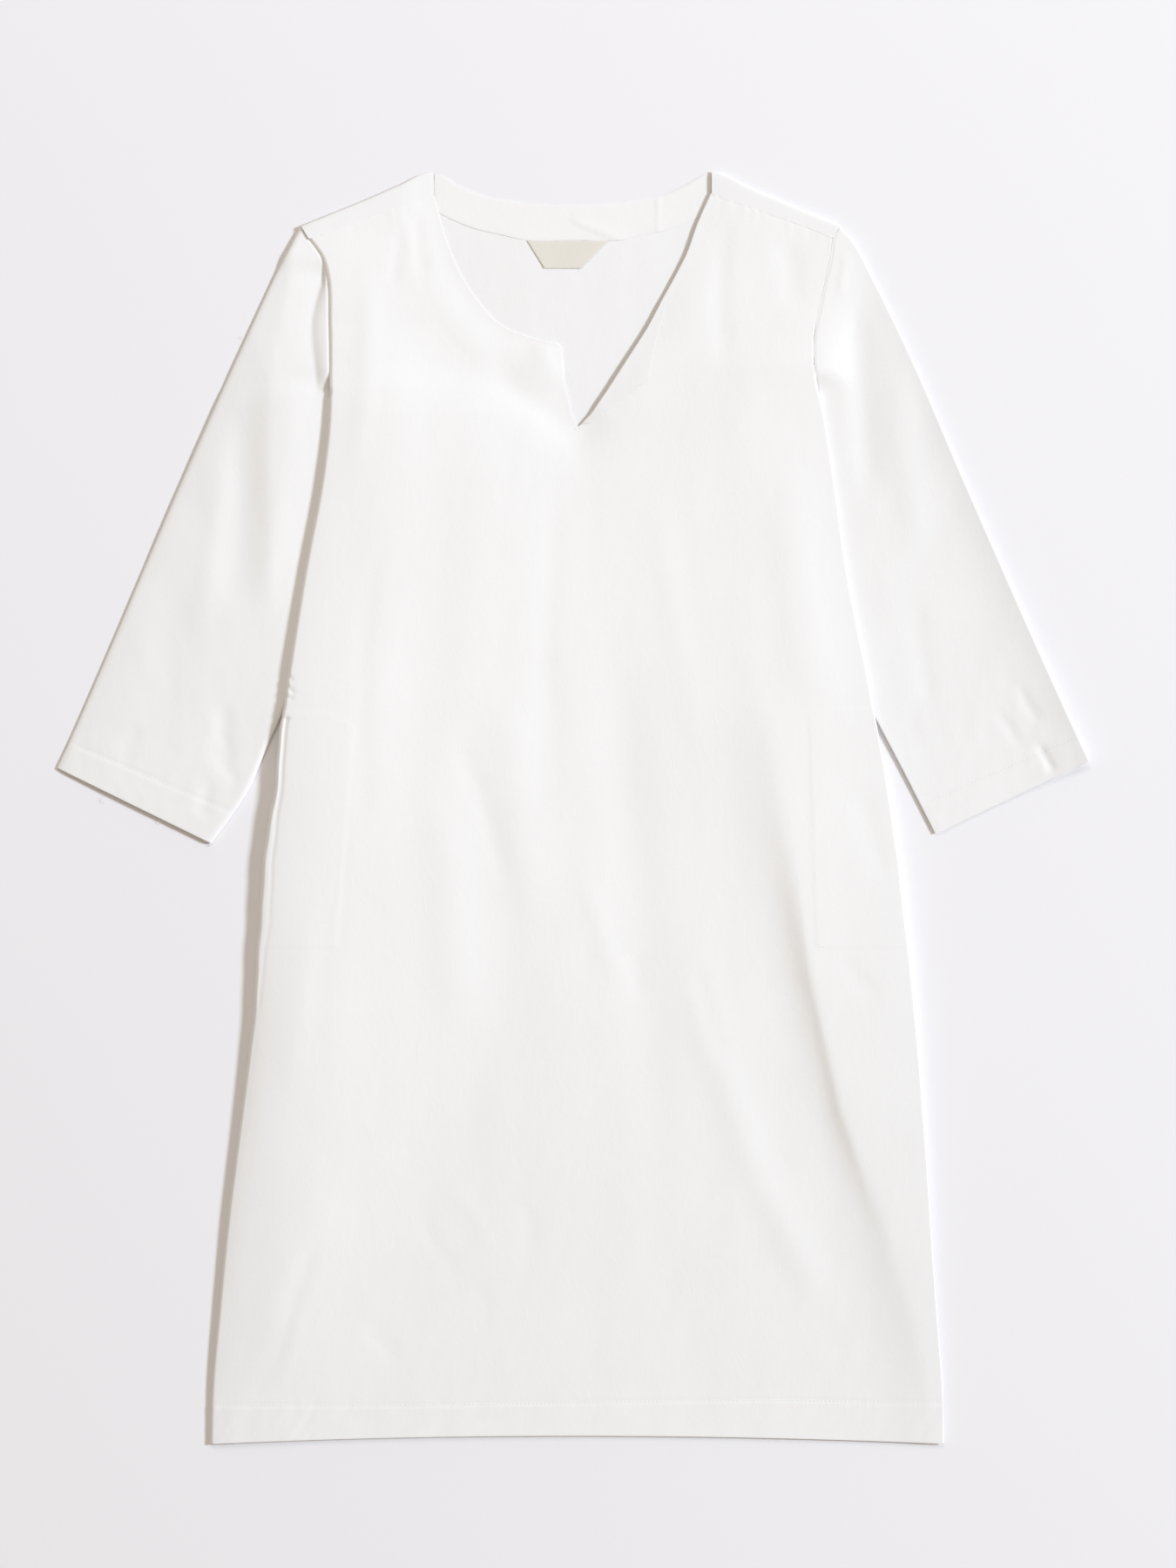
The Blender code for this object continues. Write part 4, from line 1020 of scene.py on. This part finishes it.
def added(name, what):
    """A new object in the scene, from a mesh, a light or a camera."""
    made = bpy.data.objects.new(name, what)
    bpy.context.scene.collection.objects.link(made)
    return made


def piece(name, mesh, finish):
    made = added(name, mesh)
    mesh.materials.append(finish)
    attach(made, "root")
    return made


def cloth(name, rows, finish, node, outwards=False, thickness=CLOTH, split=None, closed=False):
    """A shell of cloth behind the faces between its rows of points, in place of its CAD node."""
    made = piece(name, mesh_from_rows(name, rows, split, closed), finish)
    shell = made.modifiers.new("Cloth", "SOLIDIFY")
    shell.thickness = thickness * MM
    shell.offset = 1.0 if outwards else -1.0
    even = made.modifiers.new("Even shading", "WEIGHTED_NORMAL")
    even.mode = "FACE_AREA"
    even.weight = 100
    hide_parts(node)
    return made


# Materials

def node_group(name, inputs, outputs):
    """A shader node group with named inputs (name, kind, value) and outputs (name, kind)."""
    group = bpy.data.node_groups.new(name, "ShaderNodeTree")
    for label, kind, value in inputs:
        socket = group.interface.new_socket(label, in_out="INPUT", socket_type=kind)
        if value is not None:
            socket.default_value = value
    for label, kind in outputs:
        group.interface.new_socket(label, in_out="OUTPUT", socket_type=kind)
    return group, group.nodes.new("NodeGroupInput"), group.nodes.new("NodeGroupOutput")


def maths(tree, operation, first, second=None):
    node = tree.nodes.new("ShaderNodeMath")
    node.operation = operation
    for k, value in enumerate((first, second)):
        if value is None:
            continue
        if isinstance(value, (int, float)):
            node.inputs[k].default_value = value
        else:
            tree.links.new(value, node.inputs[k])
    return node.outputs[0]


def scaled(tree, vector, scale):
    node = tree.nodes.new("ShaderNodeVectorMath")
    node.operation = "MULTIPLY"
    tree.links.new(vector, node.inputs[0])
    node.inputs[1].default_value = scale
    return node.outputs[0]


def noise_of(tree, vector, scale, detail=2.0, rough=0.5, distortion=0.0):
    node = tree.nodes.new("ShaderNodeTexNoise")
    node.inputs["Scale"].default_value = scale
    node.inputs["Detail"].default_value = detail
    node.inputs["Roughness"].default_value = rough
    node.inputs["Distortion"].default_value = distortion
    tree.links.new(vector, node.inputs["Vector"])
    return node.outputs["Fac"]


def weave_group():
    """Plain weave: threads over and under each other, with slubs along single threads."""
    group, given, made = node_group(
        "plain_weave",
        [("Position", "NodeSocketVector", None), ("Thread", "NodeSocketFloat", 0.0004)],
        [("Height", "NodeSocketFloat"), ("Slub", "NodeSocketFloat")])
    position = given.outputs["Position"]
    parts = group.nodes.new("ShaderNodeSeparateXYZ")
    group.links.new(position, parts.inputs[0])
    waves = []
    for axis in ("X", "Y"):
        turns = maths(group, "DIVIDE", parts.outputs[axis], given.outputs["Thread"])
        waves.append(maths(group, "SINE", maths(group, "MULTIPLY", turns, math.pi)))
    over = maths(group, "MULTIPLY", waves[0], waves[1])
    group.links.new(maths(group, "MULTIPLY_ADD", over, 0.5), made.inputs["Height"])
    made.inputs["Height"].links[0].from_node.inputs[2].default_value = 0.5
    lengthwise = noise_of(group, scaled(group, position, (1400.0, 26.0, 1.0)), 1.0, 1.0)
    crosswise = noise_of(group, scaled(group, position, (24.0, 1300.0, 1.0)), 1.0, 1.0)
    group.links.new(maths(group, "ADD", lengthwise, crosswise), made.inputs["Slub"])
    return group


def crumple_group():
    """Fine crumples of cloth that was pressed, folded and laid out again."""
    group, given, made = node_group(
        "pressed_crumple",
        [("Position", "NodeSocketVector", None), ("Sharpness", "NodeSocketFloat", 3.0)],
        [("Height", "NodeSocketFloat"), ("Shade", "NodeSocketFloat")])
    position = given.outputs["Position"]
    soft = noise_of(group, position, 45.0, 3.0, 0.55, 0.6)
    lines = noise_of(group, scaled(group, position, (1.0, 0.55, 1.0)), 85.0, 2.0, 0.5, 0.9)
    centred = maths(group, "ABSOLUTE", maths(group, "SUBTRACT", lines, 0.5))
    near_line = maths(group, "SUBTRACT", 1.0, maths(group, "MULTIPLY", centred, 4.0))
    ridge = maths(group, "POWER", near_line, given.outputs["Sharpness"])
    height = maths(group, "ADD", soft, maths(group, "MULTIPLY", ridge, 0.25))
    group.links.new(height, made.inputs["Height"])
    group.links.new(noise_of(group, position, 9.0, 3.0, 0.6, 0.3), made.inputs["Shade"])
    return group


def painted_falloff_shade_group():
    """Painted shade: the colour is darkened towards the shoulders and the hem, where the light falls
    off, and on the sleeves.
    """
    group, given, made = node_group(
        "painted_falloff_shade",
        [("Position", "NodeSocketVector", None), ("Upper", "NodeSocketFloat", 0.015),
         ("Lower", "NodeSocketFloat", 0.025), ("Sleeves", "NodeSocketFloat", 0.03)],
        [("Painted_light_factor", "NodeSocketFloat")])
    parts = group.nodes.new("ShaderNodeSeparateXYZ")
    group.links.new(given.outputs["Position"], parts.inputs[0])
    aside = maths(group, "ABSOLUTE", parts.outputs["X"])
    total = None
    # painted shade: ramps that darken the colour towards the shoulders, the hem and the sleeves
    for place_of, start, end, amount in ((parts.outputs["Y"], 0.12, 0.28, "Upper"),
                                         (parts.outputs["Y"], 0.0, -0.40, "Lower"),
                                         (aside, 0.17, 0.25, "Sleeves")):
        ramp = group.nodes.new("ShaderNodeMapRange")
        ramp.interpolation_type = "SMOOTHSTEP"
        ramp.inputs["From Min"].default_value = start
        ramp.inputs["From Max"].default_value = end
        group.links.new(place_of, ramp.inputs["Value"])
        painted_darkening = maths(group, "MULTIPLY", ramp.outputs["Result"], given.outputs[amount])
        total = painted_darkening if total is None else maths(group, "ADD", total, painted_darkening)
    group.links.new(maths(group, "SUBTRACT", 1.0, total), made.inputs["Painted_light_factor"])
    return group


def use_group(tree, group, position):
    node = tree.nodes.new("ShaderNodeGroup")
    node.node_tree = group
    tree.links.new(position, node.inputs["Position"])
    return node


def bump(tree, height, distance, strength):
    node = tree.nodes.new("ShaderNodeBump")
    node.inputs["Distance"].default_value = distance
    node.inputs["Strength"].default_value = strength
    tree.links.new(height, node.inputs["Height"])
    return node


def cloth_material(name, colour, thread, roughness, crumple_depth):
    """Woven cloth: weave and crumples in its bump; slubs, random tone and painted shade towards the
    shoulders, the hem and the sleeves in its colour.
    """
    made = bpy.data.materials.new(name)
    made.use_nodes = True
    tree = made.node_tree
    shader = tree.nodes["Principled BSDF"]
    position = tree.nodes.new("ShaderNodeTexCoord").outputs["Object"]
    woven = use_group(tree, WEAVE, position)
    woven.inputs["Thread"].default_value = thread
    pressed = use_group(tree, CRUMPLE, position)

    uneven = tree.nodes.new("ShaderNodeMix")
    uneven.data_type = "RGBA"
    uneven.inputs["A"].default_value = [c * 0.985 for c in colour[:3]] + [1.0]
    uneven.inputs["B"].default_value = [min(1.0, c * 1.015) for c in colour[:3]] + [1.0]
    tone = maths(tree, "ADD", maths(tree, "MULTIPLY", woven.outputs["Slub"], 0.5),
                 maths(tree, "MULTIPLY", maths(tree, "SUBTRACT", pressed.outputs["Shade"], 0.5), 1.6))
    tree.links.new(tone, uneven.inputs["Factor"])
    # Painted shade: the base colour is scaled down towards the shoulders, the hem and the sleeves
    falloff_shade_node = use_group(tree, PAINTED_FALLOFF_SHADE, position)
    toned = tree.nodes.new("ShaderNodeVectorMath")
    toned.operation = "SCALE"
    tree.links.new(uneven.outputs["Result"], toned.inputs[0])
    tree.links.new(falloff_shade_node.outputs["Painted_light_factor"], toned.inputs["Scale"])
    tree.links.new(toned.outputs[0], shader.inputs["Base Color"])
    rough = maths(tree, "ADD", maths(tree, "MULTIPLY", pressed.outputs["Shade"], 0.1), roughness - 0.05)
    tree.links.new(rough, shader.inputs["Roughness"])

    creased = bump(tree, pressed.outputs["Height"], crumple_depth, 1.0)
    raised = bump(tree, woven.outputs["Height"], THREAD_BUMP, 0.35)
    tree.links.new(creased.outputs["Normal"], raised.inputs["Normal"])
    tree.links.new(raised.outputs["Normal"], shader.inputs["Normal"])
    shader.inputs["Specular IOR Level"].default_value = 0.25
    shader.inputs["Sheen Weight"].default_value = 0.12
    shader.inputs["Sheen Roughness"].default_value = 0.5
    return made


WEAVE = weave_group()
CRUMPLE = crumple_group()
# painted shade that darkens the cloth's colour towards the shoulders, the hem and the sleeves
PAINTED_FALLOFF_SHADE = painted_falloff_shade_group()
THREAD_BUMP = 0.00004
# Name, colour, pitch of the threads in metres, roughness, depth of the crumples in metres
COTTON = cloth_material("white_cotton_outside", (0.931, 0.912, 0.905), 0.0004, 0.86, 0.00009)
INSIDE = cloth_material("white_cotton_wrong_side", (0.922, 0.903, 0.90), 0.0004, 0.9, 0.00009)
TAPE = cloth_material("cream_tape", (0.81, 0.765, 0.69), 0.00025, 0.75, 0.00008)
THREAD = cloth_material("cotton_thread", (0.88, 0.875, 0.87), 0.0002, 0.8, 0.00002)


# Sewing

def tubes(name, paths, radius):
    """One mesh of thin round threads, one along each path of points, narrowed at both ends."""
    shape = bmesh.new()
    for path in paths:
        path = np.asarray(path, float)
        ways = np.gradient(path, axis=0)
        last = None
        for k, (point, way) in enumerate(zip(path, ways)):
            way = way / np.linalg.norm(way)
            out = np.cross(way, (0.0, 0.0, 1.0))
            out = out / max(np.linalg.norm(out), 1e-9)
            up = np.cross(out, way)
            size = radius * (0.45 if k in (0, len(path) - 1) else 1.0)
            ring = []
            for angle in np.arange(6) * math.pi / 3.0:
                offset = out * math.cos(angle) + up * math.sin(angle)
                ring.append(shape.verts.new(point + offset * size))
            if last:
                for j in range(6):
                    shape.faces.new((last[j], ring[j], ring[(j + 1) % 6], last[(j + 1) % 6]))
            else:
                shape.faces.new(ring)
            last = ring
        shape.faces.new(last[::-1])
    mesh = bpy.data.meshes.new(name)
    shape.to_mesh(mesh)
    shape.free()
    mesh.shade_smooth()
    return mesh


STITCH = 2.3
STITCH_PITCH = 2.9
STITCH_RISE = 0.06
THREAD_RADIUS = 0.17
LOOSE_RADIUS = 0.11
# Loose thread ends: where they start, their small steps in plan, and their height
Loose = namedtuple("Loose", "start turns height")
LOOSE_ENDS = (
    Loose((-336.5, 452.0), ((-1.2, 1.6), (-1.0, 1.8), (-0.9, 1.2), (-0.2, 1.4)), 3.0),
    Loose((-236.5, 121.0), ((-1.6, -0.6), (-1.4, -0.8), (-1.2, 0.2)), 2.0),
    Loose((-247.8, 920.0), ((0.8, 1.0), (1.2, 0.8), (1.0, -0.1)), 0.6),
    Loose((371.5, 428.0), ((1.2, -0.4), (1.5, -0.8), (1.0, -0.5)), 1.5),
    Loose((-262.0, 487.0), ((-0.8, 1.0), (-1.4, 0.3), (-1.2, -0.4)), 0.8),
    Loose((-300.0, 470.0), ((-0.6, 1.2), (0.3, 1.2), (0.8, 0.6)), 1.0),
)
# Bar tacks on the front: at the right pocket's bottom, above the left pocket's mouth, under the slit
BAR_TACKS = (((177.5, 560.6), (186.0, 561.6)), ((-206.5, 395.5), (-200.0, 396.5)),
             ((1.0, 186.5), (8.0, 186.5)))


def threads(name, paths, radius=THREAD_RADIUS):
    return piece(name, tubes(name, paths, radius * MM), THREAD)


def stitches_along(across, down, z):
    """Short arched stitches, evenly spaced along a line of plan points with their z."""
    points = np.stack([across, -np.asarray(down), z], -1).astype(float)
    spans = run_lengths(points[:, :2])
    paths = []
    for start in np.arange(0.0, spans[-1] - STITCH, STITCH_PITCH):
        at = start + STITCH * np.array([0.0, 0.2, 0.5, 0.8, 1.0])
        rise = STITCH_RISE * np.array([-1.5, 0.5, 1.0, 0.5, -1.5])
        path = [np.interp(at, spans, points[:, k]) for k in range(3)]
        paths.append(place(path[0], -path[1], path[2] + rise))
    return paths


def front_line(route, step=1.0):
    """A line on the front's surface through plan points."""
    route = np.array(route, float)
    spans = run_lengths(route)
    at = np.arange(0.0, spans[-1], step)
    across = np.interp(at, spans, route[:, 0])
    down = np.interp(at, spans, route[:, 1])
    return across, down, front_surface(across, down)


def hem_stitch_paths():
    across = np.arange(-(LEFT_SIDE[-2].edge - 3.0), RIGHT_SIDE[-2].edge - 3.0, 1.0)
    down = line(HEM_STITCHES, "across", "down", across)
    return stitches_along(across, down, front_surface(across, down))


def cuff_stitch_paths(sign, outer, inner, folds, loft):
    shares = np.linspace(0.03, 0.97, 120)
    length = np.hypot(outer[-1].across - outer[0].across, outer[-1].down - outer[0].down)
    along = np.array([1.0 - CUFF_HEM_DEPTH / length])
    plan, width = sleeve_plan(sign, outer, inner, along, shares)
    across, down = plan[0, :, 0], plan[0, :, 1]
    lofts = sleeve_loft(loft, along, shares * width)
    top = sleeve_top(sign, across, down, folds, lofts) + cuff_relief(CUFF_HEM_DEPTH)
    return stitches_along(across, down, top)


def loose_thread(start, turns, height):
    """A short curled thread end in plan, from a start and small steps."""
    points = np.concatenate([[start], start + np.cumsum(np.array(turns, float), axis=0)])
    z = height * (1.0 - np.linspace(0.0, 1.0, len(points)) ** 2) + 0.3
    return place(points[:, 0], points[:, 1], z)


def build_garment():
    front = front_rows()
    middle = front.shape[1] // 2 - 1
    panel = cloth("front_cloth", front, COTTON, "front_panel", split=middle)
    back = cloth("back_cloth", back_rows(), INSIDE, "back_panel")
    left = cloth("left_sleeve_cloth", sleeve_rows(*LEFT_SLEEVE), COTTON,
                 "left_sleeve", closed=True)
    right = cloth("right_sleeve_cloth", sleeve_rows(*RIGHT_SLEEVE)[:, ::-1], COTTON,
                  "right_sleeve", closed=True)
    facing = cloth("back_facing_cloth", facing_rows(), COTTON,
                   "back_neck_facing", outwards=True, thickness=TRIM)
    label = cloth("bare_label", label_rows(), TAPE, "neck_label", outwards=True,
                  thickness=TRIM)
    corner = cloth("turned_corner_cloth", lapel_rows(), INSIDE,
                   "front_neck_facing", outwards=True, thickness=TRIM / 2.0)
    bags = [cloth(name + "_cloth", pocket_rows(sign), INSIDE, name + "_bag")
            for sign, name in ((-1, "left_pocket"), (1, "right_pocket"))]

    hem = threads("hem_stitches", hem_stitch_paths())
    cuffs = [threads("left_cuff_stitches", cuff_stitch_paths(*LEFT_SLEEVE)),
             threads("right_cuff_stitches", cuff_stitch_paths(*RIGHT_SLEEVE))]
    tacks = [path for route in BAR_TACKS for path in stitches_along(*front_line(route))]
    tack = threads("bar_tacks", tacks)
    loose = threads("loose_thread_ends", [loose_thread(*end) for end in LOOSE_ENDS], LOOSE_RADIUS)


# Floor, light and camera

CAMERA_AT = (0.011, 0.017, 2.682)
LENS = 85.0
Window = namedtuple("Window", "name elevation azimuth distance size power colour")
WINDOWS = (
    Window("right_window", 33.0, 12.0, 12.0, 2.2, 1485.0, (0.754, 0.848, 0.975)),
    Window("top_window", 46.0, 96.0, 4.5, 1.6, 32.0, (0.97, 0.98, 1.0)),
)
FILL_COLOUR = (1.0, 0.885, 0.72, 1.0)
FILL_STRENGTH = 0.435
FLOOR_REACH = 6.0
FLOOR_DARKER = (0.886, 0.865, 0.884, 1.0)
FLOOR_LIGHTER = (0.896, 0.877, 0.895, 1.0)


def floor():
    mesh = bpy.data.meshes.new("floor")
    reach = FLOOR_REACH
    corners = [(-reach, -reach, 0.0), (reach, -reach, 0.0), (reach, reach, 0.0), (-reach, reach, 0.0)]
    mesh.from_pydata(corners, [], [(0, 1, 2, 3)])
    made = added("floor", mesh)
    paper = bpy.data.materials.new("matt_white_floor")
    paper.use_nodes = True
    tree = paper.node_tree
    shader = tree.nodes["Principled BSDF"]
    position = tree.nodes.new("ShaderNodeTexCoord").outputs["Object"]
    tint = tree.nodes.new("ShaderNodeMix")
    tint.data_type = "RGBA"
    tint.inputs["A"].default_value = FLOOR_DARKER
    tint.inputs["B"].default_value = FLOOR_LIGHTER
    tree.links.new(noise_of(tree, position, 3.0), tint.inputs["Factor"])
    tree.links.new(tint.outputs["Result"], shader.inputs["Base Color"])
    shader.inputs["Roughness"].default_value = 0.95
    shader.inputs["Specular IOR Level"].default_value = 0.1
    mesh.materials.append(paper)


def lights():
    world = bpy.data.worlds.new("room_light")
    world.use_nodes = True
    world.node_tree.nodes["Background"].inputs["Color"].default_value = FILL_COLOUR
    world.node_tree.nodes["Background"].inputs["Strength"].default_value = FILL_STRENGTH
    bpy.context.scene.world = world
    for given in WINDOWS:
        window(given)


def window(given):
    """A round soft light that faces the garment. The azimuth is from +X towards +Y."""
    light = bpy.data.lights.new(given.name, "AREA")
    light.shape = "DISK"
    light.size = given.size
    light.energy = given.power
    light.color = given.colour
    lamp = added(given.name, light)
    up = math.radians(given.elevation)
    turn = math.radians(given.azimuth)
    way = Vector((math.cos(up) * math.cos(turn), math.cos(up) * math.sin(turn), math.sin(up)))
    lamp.location = way * given.distance
    lamp.rotation_mode = "QUATERNION"
    lamp.rotation_quaternion = way.to_track_quat("Z", "Y")


def camera():
    lens = bpy.data.cameras.new("overhead")
    lens.lens = LENS
    seen = added("overhead", lens)
    seen.location = CAMERA_AT
    bpy.context.scene.camera = seen


build_garment()
floor()
lights()
camera()
bpy.context.scene.view_settings.view_transform = "Standard"
